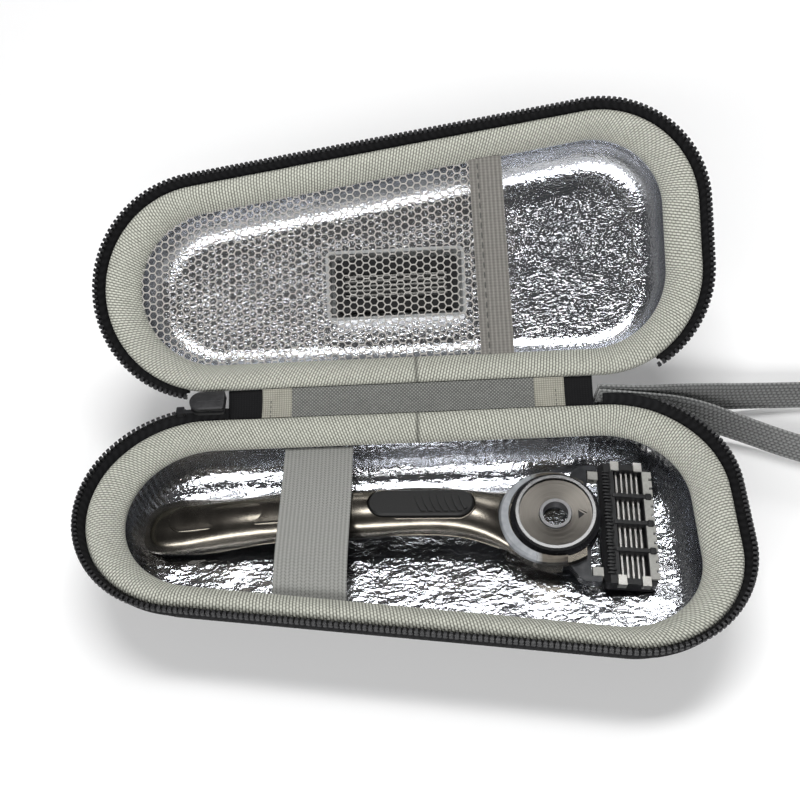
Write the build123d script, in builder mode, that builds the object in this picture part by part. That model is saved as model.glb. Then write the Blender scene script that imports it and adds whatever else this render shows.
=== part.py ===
"""Razor travel case: two moulded half shells on a cloth hinge, with the razor that it carries.

Millimetres. +X runs along the hinge towards the razor's head, +Y towards the hinge, +Z up.
The origin lies on the flat underside of the base, under the middle of the rim.
The lid is drawn as the base's mirror image in the closed case and then opened about the hinge.
"""

import math
import os

from build123d import *

# Case outline: the rim seen from above, wide at the right end and drawn in at the left front
rim_length = 182.0
rim_width = 80.5
left_end_radius = 32.0
back_corner_radius = 32.0
front_corner_radius = 29.5

# Half shell: moulded foam under black cloth, lined with foil
half_depth = 25.0
shell_wall = 4.2
shell_floor = 4.5
shell_draft_inset = 0.8
shell_front_round = 20.0
shell_back_round = 6.0
shell_setback = 1.2
foil_thickness = 0.65
foil_gap = 0.15
cavity_corner_radius = 9.0
cavity_end_inset = 2.3

# Padded binding round the rim
binding_width = 8.0
binding_height = 2.6
binding_drop = 4.0
binding_nose = 1.4
binding_seat_gap = 0.1

# Hinge: the closed rims lie zip_gap apart, and the hinge line runs hinge_setback outside them
zip_gap = 6.0
hinge_setback = 4.0
open_angle = 143.3
hinge_cloth_ends = (-53.6, 56.5)
hinge_strip_ends = (-34.0, 39.0)
hinge_tab_length = 9.0
hinge_cloth_thickness = 0.7
hinge_layer_gap = 0.3
hinge_edge_gap = 0.15
hinge_sag = 0.7

# Zip: tape sewn outside the rim, with a row of teeth on its edge
tape_thickness = 0.8
tape_reach = 2.0
tape_foot = 4.0
tooth_width = 1.3
tooth_height = 1.6
tooth_length = 1.1
tooth_pitch = 2.2
tooth_cord = 0.5
teeth_mid_gap = 0.15
zip_start_left = 66.0
zip_start_right = 76.0
stop_length = 2.4
stop_gap = 0.3
tape_end_thickness = 0.2
tape_end_width = 1.3
tape_end_reach = 8.0

# Zip slider and its pull tab
slider_length = 10.6
slider_width = 7.0
slider_plate = 0.9
slider_throat = 0.9
slider_nose = 3.4
slider_post = 2.6
slider_left = -64.6
tab_length = 18.0
tab_width = 5.6
tab_thickness = 1.2
tab_arm = 1.2
tab_pin_radius = 0.7
tab_pin_clearance = 0.25
crown_length = 6.4
crown_width = 1.4
crown_wall = 0.9

# Elastic band across the base
elastic_width = 20.4
elastic_centre = -25.8
elastic_thickness = 1.0
elastic_end_height = 16.6
elastic_crown_height = 21.5
elastic_crown_y = 9.8
elastic_end_gap = 0.2

# Net pocket in the lid
net_thickness = 0.6
net_depth = 3.3
net_right = 23.0
net_pitch = 5.2
net_hole = 4.2
net_margin = 3.4
net_edge_gap = 0.25
hem_width = 10.0
hem_lean = 2.0
hem_thickness = 1.4
hem_gap = 0.1

# Wrist strap: webbing loop that stands on its edge
strap_width = 12.0
strap_thickness = 1.4
strap_route = [
    (57.0, 43.2),
    (70.0, 43.4),
    (86.0, 45.6),
    (100.0, 43.4),
    (117.6, 35.0),
    (140.0, 26.5),
    (160.0, 27.5),
    (172.0, 38.0),
    (160.0, 50.5),
    (140.0, 55.5),
    (104.0, 56.0),
    (86.0, 51.0),
    (70.0, 45.6),
    (57.0, 45.0),
]
strap_heights = [(57.0, 16.0), (70.0, 13.5), (84.0, 8.0), (95.0, 3.0), (106.0, 0.0), (180.0, 0.0)]

# Spare cartridge in its tray, on the lid's floor behind the net
tray_length = 43.6
tray_width = 22.0
tray_height = 8.6
tray_wall = 1.0
tray_corner = 2.0
tray_centre = (-1.9, 8.0)
tray_seat_gap = 0.2
spare_length = 38.4
spare_width = 16.4
spare_height = 5.4
spare_gap = 0.3
spare_corner = 1.2
spare_window = (32.0, 9.0)

# Razor: its axis lies slightly askew in the base
razor_origin_y = 8.1
razor_skew = -2.2
split_gap = 0.12

# Razor handle: (along the axis, beside it, half width, lowest, highest) above the table
handle_sections = [
    (-77.0, -0.8, 4.6, 9.0, 12.6),
    (-75.4, -0.6, 7.0, 7.4, 14.2),
    (-71.0, 0.0, 8.8, 6.1, 15.4),
    (-62.0, 0.5, 9.0, 5.6, 16.5),
    (-40.0, 1.7, 8.0, 7.5, 18.4),
    (-20.0, 1.9, 7.9, 9.5, 20.0),
    (0.0, 2.0, 7.6, 11.0, 21.0),
    (14.0, 1.8, 7.6, 10.8, 20.9),
    (22.0, 0.9, 8.2, 10.0, 19.9),
    (29.0, 0.3, 9.8, 9.2, 17.4),
    (35.0, 0.0, 12.6, 9.2, 14.6),
]
grip_line = [
    (-80.0, 8.2),
    (-70.0, 7.2),
    (-60.0, 8.4),
    (-45.0, 11.6),
    (-25.0, 14.0),
    (0.0, 15.4),
    (20.0, 14.4),
    (34.0, 11.0),
]

# Thumb button let into the handle
button_left = -10.6
button_aside = 1.9
button_length = 30.2
button_width = 8.8
button_top = 21.5
button_thickness = 2.2
button_gap = 0.3
button_travel = 1.0
button_corner = 0.9
ridge_count = 7
ridge_pitch = 2.1
ridge_width = 1.0
ridge_depth = 0.5
ridge_curve_radius = 14.0
ridge_margin = 2.0

# Razor head: a metal cradle with a ring, a dished disc and an open bush, leaning towards the front
head_centre = 42.7
head_top = 18.8
head_tilt = 4.5
disc_tilt = 10.0
cradle_radius = 14.6
cradle_top = -3.8
cradle_floor_top = -8.0
cradle_bottom = -9.3
cradle_lip = -5.85
lip_right = 8.5
cradle_right = 1.6
ring_radius = 12.75
ring_shoulder = 11.9
ring_bottom = -5.9
ring_waist = -2.3
disc_radius = 10.3
disc_edge = -0.9
disc_dish = 0.9
disc_bottom = -3.4
disc_hole_radius = 4.7
bush_radius = 4.5
bush_bore = 3.6
bush_ends = (-5.2, -1.3)
head_bore = 5.2
head_gap = 0.15
marker_size = 1.5
marker_reach = 7.4
marker_depth = 0.3
collar_radius = 14.8
collar_centre = (-1.3, -0.3)
collar_top = -1.6
collar_right = 3.0
collar_gap = 0.12

# Yoke: a plate under the ring whose two arms carry the blade unit on short pins
yoke_radius = 12.5
yoke_plate_bottom = -7.85
yoke_plate_top = -6.05
arm_bottom = -9.05
arm_root = 3.6
arm_outer = 18.9
arm_wall = 1.65
arm_reach = 1.3
pivot_reach = 11.0
pivot_height = -7.55
pivot_radius = 0.8
pivot_clearance = 0.1
pad_width = 2.7
pad_back = 1.2
side_gap = 0.2

# Blade unit: frame with windows between ribs, blades under them, comb, clips and pivot pads
unit_length = 39.0
unit_offset = 1.8
unit_width = 15.2
unit_top = 2.2
unit_bottom = -1.8
unit_tilt = 8.0
unit_corner = 2.0
unit_edge_chamfer = 1.1
unit_end_wall = 1.8
unit_hinge_rail = 4.4
unit_front_rail = 2.6
rib_count = 3
rib_width = 1.5
rib_height = 1.4
blade_count = 5
blade_thickness = 0.5
blade_pitch = 1.5
blade_height = 1.8
blade_seat_gap = 0.1
comb_thickness = 0.8
comb_overhang = 0.4
comb_notch = 0.9
comb_notch_pitch = 3.0
clip_spots = (4.8, 11.6)
clip_width = 2.4
clip_reach = 2.4
clip_thickness = 0.5
clip_drop = 1.6

hinge_y = rim_width / 2 + hinge_setback - 0.25
hinge_z = half_depth + zip_gap / 2
hinge_axis = Axis((0, hinge_y, hinge_z), (1, 0, 0))
mid_plane = Plane.XY.offset(hinge_z)
rim_back_y = hinge_y - hinge_setback

os.makedirs("parts", exist_ok=True)


def save(part, name):
    """Label a finished piece and write it under its own name."""
    part.label = name
    export_step(part, f"parts/{name}.step")
    return part


def opened(part):
    """The lid's copy of a piece drawn in the base: mirrored in the closed case, then opened."""
    return mirror(part, about=mid_plane).rotate(hinge_axis, -open_angle)


def rim_corners(inset, end_inset):
    """Centre and radius of the rim's three round corners, drawn in by inset, and more at the ends."""
    left = (-rim_length / 2 + left_end_radius + end_inset, rim_back_y - left_end_radius)
    front = (rim_length / 2 - front_corner_radius - end_inset, rim_back_y - rim_width + front_corner_radius)
    back = (rim_length / 2 - back_corner_radius - end_inset, rim_back_y - back_corner_radius)
    return [
        (Vector(*left), left_end_radius - inset),
        (Vector(*front), front_corner_radius - inset),
        (Vector(*back), back_corner_radius - inset),
    ]


def outline(height, inset, end_inset=0.0, shift=0.0):
    """Face inside the rim, moved back by shift: its round corners joined by their outer tangents."""
    corners = [(centre + Vector(0, shift), radius) for centre, radius in rim_corners(inset, end_inset)]
    normals = []
    for i, (centre, radius) in enumerate(corners):
        other, other_radius = corners[(i + 1) % 3]
        along = other - centre
        turn = math.acos((radius - other_radius) / along.length)
        normals.append(math.atan2(along.Y, along.X) - turn)
    with BuildSketch(Plane.XY.offset(height)) as face:
        with BuildLine():
            for i, (centre, radius) in enumerate(corners):
                other, other_radius = corners[(i + 1) % 3]
                start, end = normals[i - 1], normals[i]
                if end < start:
                    end += 2 * math.pi
                points = [
                    centre + Vector(math.cos(a), math.sin(a)) * radius for a in (start, (start + end) / 2, end)
                ]
                ThreePointArc(*points)
                leave = Vector(math.cos(normals[i]), math.sin(normals[i]))
                Line(points[2], other + leave * other_radius)
        make_face()
    return face.sketch


def bowl(levels):
    """Solid through a stack of outlines, each (height, inset, end inset, shift)."""
    with BuildPart() as body:
        loft(sections=[outline(*level) for level in levels], ruled=True)
    return body.part


def bowl_levels(top, rim_inset, wall_inset, floor, front_round, back_round, end_inset, steps):
    """Levels of a drafted wall that turns into a flat floor by a quarter round, steeper at the back."""
    levels = [(top, rim_inset, end_inset)]
    for i in range(steps + 1):
        angle = math.pi / 2 * i / steps
        turned_in = 1 - math.cos(angle)
        inset = wall_inset + (front_round + back_round) / 2 * turned_in
        shift = (front_round - back_round) / 2 * turned_in
        levels.append((floor + front_round * (1 - math.sin(angle)), inset, end_inset, shift))
    return levels


def cavity_levels(top, inward, steps):
    """Levels of the foam's hollow, drawn in by inward."""
    rim_inset = shell_setback + shell_wall + inward
    return bowl_levels(
        top,
        rim_inset,
        rim_inset + shell_draft_inset,
        shell_floor + inward,
        cavity_corner_radius - inward,
        cavity_corner_radius - inward,
        cavity_end_inset,
        steps,
    )


# Half shell: foam with a drafted wall, an open top and a large round bottom edge that is steeper at the hinge
shell_top = half_depth - binding_height
with BuildPart() as base_shell:
    add(
        bowl(
            bowl_levels(
                shell_top,
                shell_setback,
                shell_setback + shell_draft_inset,
                0.0,
                shell_front_round,
                shell_back_round,
                0.0,
                5,
            )
        )
    )
    add(bowl(cavity_levels(shell_top, 0.0, 3)), mode=Mode.SUBTRACT)
save(base_shell.part, "base_shell")
save(opened(base_shell.part), "lid_shell")

# Foil lining: a thin bowl inside the foam
with BuildPart() as base_lining:
    add(bowl(cavity_levels(shell_top, foil_gap, 3)))
    add(bowl(cavity_levels(shell_top, foil_gap + foil_thickness, 3)), mode=Mode.SUBTRACT)
save(base_lining.part, "base_lining")
save(opened(base_lining.part), "lid_lining")

# Padded binding: it lies on the foam's edge, slopes inwards and turns down over the foil's top
binding_seat = shell_top + binding_seat_gap
nose_z = half_depth - binding_drop
nose_inset = binding_width
foil_face = shell_setback + shell_wall + foil_gap + foil_thickness
with BuildPart() as binding:
    add(
        bowl(
            [
                (binding_seat, 0.0, 0.0),
                (half_depth - 0.8, 0.0, 0.0),
                (half_depth, 1.2, 0.35),
            ]
        )
    )
    add(
        bowl(
            [
                (nose_z - binding_nose, foil_face + 2 * binding_seat_gap + 0.3, cavity_end_inset),
                (binding_seat, foil_face + binding_seat_gap, cavity_end_inset),
            ]
        )
    )
    add(
        bowl(
            [
                (nose_z - binding_nose, nose_inset - 0.2, cavity_end_inset),
                (nose_z, nose_inset, cavity_end_inset),
                (nose_z + 0.45 * binding_drop, nose_inset - 0.8, 0.9 * cavity_end_inset),
                (half_depth - 0.1 * binding_drop, 0.5 * nose_inset, 0.5 * cavity_end_inset),
                (half_depth, 1.2, 0.35),
            ]
        ),
        mode=Mode.SUBTRACT,
    )
save(binding.part, "base_rim_binding")
save(opened(binding.part), "lid_rim_binding")


def zip_side():
    """Block behind the rim, over the hinge, where the zip has neither tape nor teeth."""
    with BuildPart() as block:
        with BuildSketch(Plane.XY.offset(-half_depth)):
            with Locations(((zip_start_right - zip_start_left) / 2, rim_back_y + hinge_setback)):
                Rectangle(zip_start_left + zip_start_right, 4 * hinge_setback)
        extrude(amount=4 * half_depth)
    return block.part


# Zip tape: a band up the outside of the rim that flares out towards the teeth
tape_foot_z = half_depth - tape_foot
teeth_top = hinge_z - teeth_mid_gap
teeth_bottom = teeth_top - tooth_height
tape_gap = 0.1
with BuildPart() as zip_tape:
    add(
        bowl(
            [
                (tape_foot_z, -tape_gap - tape_thickness, 0.0),
                (half_depth - 0.8, -tape_gap - tape_thickness, 0.0),
                (teeth_bottom, -tape_reach - tape_thickness, 0.0),
            ]
        )
    )
    add(
        bowl(
            [
                (tape_foot_z, -tape_gap, 0.0),
                (half_depth - 0.8, -tape_gap, 0.0),
                (teeth_bottom, -tape_reach, 0.0),
            ]
        ),
        mode=Mode.SUBTRACT,
    )
    add(zip_side(), mode=Mode.SUBTRACT)
save(zip_tape.part, "base_zip_tape")
save(opened(zip_tape.part), "lid_zip_tape")


def rim_walk(inset, pitch):
    """Points and outward normals along the rim at a steady pitch, from the hinge's left end round to its right."""
    corners = rim_corners(inset, 0.0)
    runs = []
    for i, (centre, radius) in enumerate(corners):
        before, before_radius = corners[i - 1]
        after, after_radius = corners[(i + 1) % 3]
        turns = []
        for one, one_radius, two, two_radius in (
            (before, before_radius, centre, radius),
            (centre, radius, after, after_radius),
        ):
            along = two - one
            turns.append(math.atan2(along.Y, along.X) - math.acos((one_radius - two_radius) / along.length))
        start, end = turns
        if end < start:
            end += 2 * math.pi
        straight = math.sqrt((after - centre).length ** 2 - (radius - after_radius) ** 2)
        runs.append((centre, radius, start, end, straight if i < 2 else 0.0))
    total = sum(radius * (end - start) + straight for _, radius, start, end, straight in runs)
    walk = []
    for step in range(int(total / pitch) + 1):
        left = step * pitch
        for centre, radius, start, end, straight in runs:
            arc = radius * (end - start)
            if left <= arc + straight:
                angle = start + min(left, arc) / radius
                out = Vector(math.cos(angle), math.sin(angle))
                ahead = Vector(-out.Y, out.X)
                walk.append((centre + out * radius + ahead * max(left - arc, 0.0), out, ahead))
                break
            left -= arc + straight
    return walk


# Zip teeth: a moulded cord round the tape's edge with a tooth at each pitch, drawn as one comb
teeth_seat = 0.05
teeth_line = -tape_reach - tooth_cord
comb_outer = []
comb_inner = []
for point, out, ahead in rim_walk(teeth_line, tooth_pitch):
    if point.Y < 0 or point.X > zip_start_right or point.X < -zip_start_left - stop_length - 2 * stop_gap:
        root = ahead * (tooth_length / 2)
        tip = ahead * (0.35 * tooth_length)
        comb_outer += [point - root, point - tip + out * tooth_width, point + tip + out * tooth_width, point + root]
        comb_inner.append(point - out * tooth_cord)
with BuildPart() as zip_teeth:
    with BuildSketch(Plane.XY.offset(teeth_bottom + teeth_seat)):
        with BuildLine():
            Polyline(*comb_outer, *reversed(comb_inner), close=True)
        make_face()
    extrude(amount=tooth_height - teeth_seat)
save(zip_teeth.part, "base_zip_teeth")
save(opened(zip_teeth.part), "lid_zip_teeth")


def across(points, thickness, ends):
    """Band of cloth along the hinge: an arc through three (y, z) points, given a thickness and extruded along X."""
    first, middle, last = (Vector(*p) for p in points)
    chord = (last - first).normalized()
    lift = Vector(-chord.Y, chord.X) * (thickness / 2)
    with BuildPart() as band:
        with BuildSketch(Plane.YZ.offset(ends[0])):
            with BuildLine():
                ThreePointArc(first + lift, middle + lift, last + lift)
                Line(last + lift, last - lift)
                ThreePointArc(last - lift, middle - lift, first - lift)
                Line(first - lift, first + lift)
            make_face()
        extrude(amount=ends[1] - ends[0])
    return band.part


def hinge_arc(depth):
    """Three (y, z) points from the base's rim to the lid's, under the hinge line by depth at the rims."""
    reach = hinge_setback - hinge_edge_gap - 0.1
    turn = math.radians(open_angle)
    base = (hinge_y - reach, hinge_z - depth)
    lid = (
        hinge_y + reach * -math.cos(turn) + depth * math.sin(turn),
        hinge_z + reach * math.sin(turn) + depth * math.cos(turn),
    )
    middle = ((base[0] + lid[0]) / 2 + 0.3, (base[1] + lid[1]) / 2 - hinge_sag)
    return [base, middle, lid]


# Hinge: twill strip inside, its end tabs, and the black outer cloth under them
strip_depth = zip_gap / 2 + hinge_cloth_thickness
cloth_depth = strip_depth + hinge_cloth_thickness + hinge_layer_gap
strip_left, strip_right = hinge_strip_ends
save(across(hinge_arc(strip_depth), hinge_cloth_thickness, hinge_strip_ends), "hinge_lining_strip")
save(
    across(hinge_arc(strip_depth), hinge_cloth_thickness, (strip_left - hinge_tab_length, strip_left)),
    "hinge_end_tab_left",
)
save(
    across(hinge_arc(strip_depth), hinge_cloth_thickness, (strip_right, strip_right + hinge_tab_length)),
    "hinge_end_tab_right",
)
save(across(hinge_arc(cloth_depth), hinge_cloth_thickness, hinge_cloth_ends), "hinge_fabric")

# Zip slider: two plates with a round nose, joined by a post, and a crown for the pull tab's pin
slider_middle = slider_left + slider_length / 2
slider_half = slider_throat / 2 + slider_plate
pin_z = hinge_z - slider_half - tab_pin_radius - tab_pin_clearance
crown_height = 2 * (tab_pin_radius + tab_pin_clearance) + crown_wall
with BuildPart() as zip_slider:
    for plate_bottom in (hinge_z - slider_half, hinge_z + slider_throat / 2):
        with BuildSketch(Plane.XY.offset(plate_bottom)) as plate:
            with Locations((slider_middle, hinge_y)):
                Rectangle(slider_length, slider_width)
            fillet(plate.vertices().group_by(Axis.X)[0], slider_nose)
            fillet(plate.vertices().group_by(Axis.X)[-1], slider_nose / 5)
        extrude(amount=slider_plate)
    with BuildSketch(Plane.XY.offset(hinge_z - slider_throat / 2 - slider_plate / 2)):
        with Locations((slider_left + slider_post, hinge_y)):
            Circle(slider_post / 2)
    extrude(amount=slider_throat + slider_plate)
    with BuildSketch(Plane.XZ.offset(-hinge_y - crown_width / 2)):
        with Locations((slider_middle, hinge_z - slider_half - crown_height / 2 + 0.1)):
            Rectangle(crown_length, crown_height + 0.2)
        with Locations((slider_middle, hinge_z - slider_half - (crown_height - crown_wall) / 2)):
            Rectangle(crown_length - 2 * crown_wall, crown_height - crown_wall, mode=Mode.SUBTRACT)
    extrude(amount=crown_width)
save(zip_slider.part, "zip_slider")

# Pull tab: a pin under the crown, two arms beside it and a flat tab with a grip hole
tab_root = crown_length / 2 + 1.4
arm_inner = crown_width / 2 + tab_pin_clearance
with BuildPart() as pull_tab:
    with BuildSketch(Plane.YZ.offset(slider_middle - tab_thickness / 2)):
        with Locations((hinge_y, pin_z - (tab_root + tab_length) / 2)):
            RectangleRounded(tab_width, tab_length - tab_root, tab_width / 3)
        with Locations((hinge_y - arm_inner - tab_arm / 2, 0), (hinge_y + arm_inner + tab_arm / 2, 0)):
            with Locations((0, pin_z - tab_root / 2 - tab_arm / 2)):
                Rectangle(tab_arm, tab_root + tab_arm)
        with Locations((hinge_y, pin_z - tab_length + tab_width / 2)):
            Circle(tab_width / 5, mode=Mode.SUBTRACT)
    extrude(amount=tab_thickness)
    with BuildSketch(Plane.XZ.offset(-hinge_y - arm_inner - tab_arm)):
        with Locations((slider_middle, pin_z)):
            Circle(tab_pin_radius)
    extrude(amount=2 * (arm_inner + tab_arm))
save(pull_tab.part, "zip_pull_tab")

# Bottom stop: a small block on the tape's edge, and the tape's end that runs into the slider's throat
stop_x = -zip_start_left - stop_gap - stop_length / 2
tape_end_x = -zip_start_left - stop_gap - 0.2 + tape_end_reach / 2
with BuildPart() as end_stop:
    with BuildSketch(Plane.XY.offset(teeth_bottom + teeth_seat)):
        with Locations((stop_x, rim_back_y + tape_reach + tooth_width / 2 - 0.8)):
            RectangleRounded(stop_length, 2 * tooth_width, tooth_width / 4)
    extrude(amount=tooth_height - teeth_seat)
    with BuildSketch(Plane.XY.offset(teeth_top - tape_end_thickness)):
        with Locations((tape_end_x, hinge_y - slider_post / 2 - tape_end_width - 0.1)):
            Rectangle(tape_end_reach, tape_end_width)
    extrude(amount=tape_end_thickness)
save(end_stop.part, "zip_end_stop")

# Elastic band: a shallow arch over the handle, cut to the foil's walls
(left_centre, left_radius), (front_centre, front_radius) = rim_corners(0.0, 0.0)[:2]
front_share = (elastic_centre - left_centre.X) / (front_centre.X - left_centre.X)
elastic_front_y = (
    left_centre.Y - left_radius + (front_centre.Y - front_radius - left_centre.Y + left_radius) * front_share
)
with BuildPart() as elastic:
    add(
        across(
            [
                (rim_back_y, elastic_end_height),
                (elastic_crown_y, elastic_crown_height),
                (elastic_front_y, elastic_end_height),
            ],
            elastic_thickness,
            (elastic_centre - elastic_width / 2, elastic_centre + elastic_width / 2),
        )
    )
    add(bowl(cavity_levels(shell_top, foil_gap + foil_thickness + elastic_end_gap, 3)), mode=Mode.INTERSECT)
save(elastic.part, "elastic_strap")


def pocket_edge(y, shift):
    """X of the net's right edge at a given y, moved by shift."""
    return net_right + shift + hem_lean * y / rim_width


# Net pocket: one holed sheet inside the binding, hemmed along the pocket's mouth
net_inset = nose_inset + net_edge_gap
net_bottom = half_depth - net_depth - net_thickness
net_field = outline(0.0, net_inset + net_margin, cavity_end_inset).face()
row_pitch = net_pitch * math.sqrt(3) / 2
net_holes = []
for row in range(-int(rim_width / row_pitch / 2), int(rim_width / row_pitch / 2) + 1):
    for column in range(-int(rim_length / net_pitch), 0):
        spot = Vector(net_right - net_margin + (column + 0.5 * (row % 2)) * net_pitch, row * row_pitch)
        if net_field.is_inside(spot) and spot.X < pocket_edge(spot.Y, -net_hole):
            net_holes.append((spot.X, spot.Y))
print("net holes", len(net_holes))
with BuildPart() as net:
    with BuildSketch(Plane.XY.offset(net_bottom)):
        add(outline(0.0, net_inset, cavity_end_inset))
        with BuildLine():
            Polyline(
                (rim_length, -rim_width),
                (rim_length, rim_width),
                (pocket_edge(rim_width, 0.0), rim_width),
                (pocket_edge(-rim_width, 0.0), -rim_width),
                close=True,
            )
        make_face(mode=Mode.SUBTRACT)
        with Locations(*net_holes):
            RegularPolygon(net_hole / 2, 6, major_radius=False, rotation=30, mode=Mode.SUBTRACT)
    extrude(amount=net_thickness)
save(opened(net.part), "pocket_net")
with BuildPart() as hem:
    with BuildSketch(Plane.XY.offset(net_bottom + net_thickness / 2 - hem_thickness / 2)):
        with BuildLine():
            Polyline(
                (pocket_edge(-rim_width, hem_gap), -rim_width),
                (pocket_edge(-rim_width, hem_width), -rim_width),
                (pocket_edge(rim_width, hem_width), rim_width),
                (pocket_edge(rim_width, hem_gap), rim_width),
                close=True,
            )
        make_face()
        add(outline(0.0, net_inset, cavity_end_inset), mode=Mode.INTERSECT)
    extrude(amount=hem_thickness)
save(opened(hem.part), "pocket_hem")

# Spare cartridge in its clear tray on the lid's floor
floor_top = shell_floor + foil_gap + foil_thickness
tray_bottom = floor_top + tray_seat_gap
with BuildPart() as tray:
    with BuildSketch(Plane.XY.offset(tray_bottom)):
        with Locations(tray_centre):
            RectangleRounded(tray_length, tray_width, tray_corner)
    extrude(amount=tray_height)
    with BuildSketch(Plane.XY.offset(tray_bottom + tray_wall)):
        with Locations(tray_centre):
            RectangleRounded(tray_length - 2 * tray_wall, tray_width - 2 * tray_wall, tray_corner - tray_wall)
    extrude(amount=tray_height, mode=Mode.SUBTRACT)
save(opened(tray.part), "spare_tray")
spare_bottom = tray_bottom + tray_wall + spare_gap
window_length, window_width = spare_window
with BuildPart() as spare:
    with BuildSketch(Plane.XY.offset(spare_bottom)):
        with Locations(tray_centre):
            RectangleRounded(spare_length, spare_width, spare_corner)
    extrude(amount=spare_height)
    with BuildSketch(Plane.XY.offset(spare_bottom + spare_height - blade_height)):
        with Locations(tray_centre):
            Rectangle(window_length, window_width)
    extrude(amount=blade_height, mode=Mode.SUBTRACT)
save(opened(spare.part), "spare_cartridge")
with BuildPart() as spare_blades:
    with BuildSketch(Plane.XY.offset(spare_bottom + spare_height - blade_height + blade_seat_gap)):
        with Locations(tray_centre):
            with GridLocations(0, blade_pitch, 1, blade_count):
                Rectangle(window_length - 2 * blade_seat_gap, blade_thickness)
    extrude(amount=blade_height - 2 * blade_seat_gap)
save(opened(spare_blades.part), "spare_blades")

# Wrist strap: webbing on its edge, from the hinge's right end down to the table and back in a loop
half_strap = strap_thickness / 2
with BuildLine() as route:
    Spline(*strap_route)
strap_edge = route.edge()
strap_left = []
strap_right = []
strap_steps = 60
for i in range(strap_steps + 1):
    spot = strap_edge @ (i / strap_steps)
    along = strap_edge % (i / strap_steps)
    aside = Vector(-along.Y, along.X) * half_strap
    strap_left.append(spot + aside)
    strap_right.append(spot - aside)
with BuildPart() as wrist_strap:
    with BuildSketch():
        with BuildLine():
            Spline(*strap_left)
            Line(strap_left[-1], strap_right[-1])
            Spline(*strap_right)
            Line(strap_left[0], strap_right[0])
        make_face()
    extrude(amount=2 * half_depth)
    with BuildSketch(Plane.XZ):
        with BuildLine():
            Polyline(
                *strap_heights,
                *[(x, z + strap_width) for x, z in reversed(strap_heights)],
                close=True,
            )
        make_face()
    extrude(amount=rim_width, both=True, mode=Mode.INTERSECT)
save(wrist_strap.part, "wrist_strap")


def seated(part):
    """Razor piece drawn along X, turned by the razor's skew and laid in the base."""
    return part.rotate(Axis.Z, razor_skew).translate((0, razor_origin_y, 0))


def headed(part, tilt):
    """Head piece drawn level about its own centre, leaned towards the front and set on the razor's axis."""
    return part.rotate(Axis.X, tilt).translate((head_centre, 0, head_top))


def united(part):
    """Blade unit piece drawn level about its pivot, tilted and set at the yoke's pins."""
    return headed(part.rotate(Axis.Y, unit_tilt).translate((pivot_reach, 0, pivot_height)), head_tilt)


def drum(radius, low, high, spot=(0.0, 0.0)):
    """Upright cylinder between two heights."""
    with BuildPart() as body:
        with BuildSketch(Plane.XY.offset(low)):
            with Locations(spot):
                Circle(radius)
        extrude(amount=high - low)
    return body.part


def slab(left, right, front, back, low, high):
    """Box between its six faces."""
    with BuildPart() as body:
        with Locations(((left + right) / 2, (front + back) / 2, (low + high) / 2)):
            Box(right - left, back - front, high - low)
    return body.part


def over_line(shift):
    """Everything above the line where the handle's metal meets its rubber."""
    with BuildPart() as body:
        with BuildSketch(Plane.XZ):
            with BuildLine():
                Spline(*[(x, z + shift) for x, z in grip_line])
                Polyline(
                    (grip_line[-1][0], grip_line[-1][1] + shift),
                    (rim_length, grip_line[-1][1] + shift),
                    (rim_length, rim_width),
                    (-rim_length, rim_width),
                    (-rim_length, grip_line[0][1] + shift),
                    (grip_line[0][0], grip_line[0][1] + shift),
                )
            make_face()
        extrude(amount=half_depth, both=True)
    return body.part


# Handle: one loft, split along a line into the metal upper and the rubber lower
with BuildPart() as handle:
    for x, aside, half_width, low, high in handle_sections:
        with BuildSketch(Plane.YZ.offset(x)):
            with Locations((aside, (low + high) / 2)):
                Ellipse(half_width, (high - low) / 2)
    loft()

# Metal upper: it runs out into the cradle round the ring, and takes the thumb button
clear_radius = ring_radius + head_gap
button_centre = button_left + button_length / 2
button_face = button_top - ridge_depth
button_well = button_face - button_thickness - button_travel - button_gap
with BuildPart() as ring_bore:
    add(headed(drum(clear_radius, 2 * cradle_bottom, half_depth), disc_tilt))
    add(
        headed(slab(-half_depth, half_depth, -half_depth, half_depth, cradle_floor_top, half_depth), head_tilt),
        mode=Mode.INTERSECT,
    )
with BuildPart() as handle_shell:
    add(handle.part)
    add(over_line(split_gap), mode=Mode.INTERSECT)
    add(headed(drum(cradle_radius, cradle_bottom, cradle_top), head_tilt))
    add(headed(drum(clear_radius, cradle_floor_top, ring_bottom + 1.0), head_tilt), mode=Mode.SUBTRACT)
    add(ring_bore.part, mode=Mode.SUBTRACT)
    add(
        headed(drum(collar_radius + collar_gap, cradle_top, half_depth, collar_centre), head_tilt),
        mode=Mode.SUBTRACT,
    )
    add(
        headed(slab(cradle_right, half_depth, -half_depth, half_depth, 2 * cradle_bottom, cradle_lip), head_tilt),
        mode=Mode.SUBTRACT,
    )
    add(
        headed(slab(lip_right, half_depth, -half_depth, half_depth, 2 * cradle_bottom, half_depth), head_tilt),
        mode=Mode.SUBTRACT,
    )
    add(headed(drum(head_bore, 2 * cradle_bottom, 0), head_tilt), mode=Mode.SUBTRACT)
    with BuildSketch(Plane.XY.offset(button_well)):
        with Locations((button_centre, button_aside)):
            SlotOverall(button_length + 2 * button_gap, button_width + 2 * button_gap)
    extrude(amount=half_depth, mode=Mode.SUBTRACT)
save(seated(handle_shell.part), "handle_shell")

# Rubber lower
with BuildPart() as handle_grip:
    add(handle.part)
    add(over_line(0.0), mode=Mode.SUBTRACT)
    add(headed(drum(cradle_radius + split_gap, 2 * cradle_bottom, half_depth), head_tilt), mode=Mode.SUBTRACT)
save(seated(handle_grip.part), "handle_grip")

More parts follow.
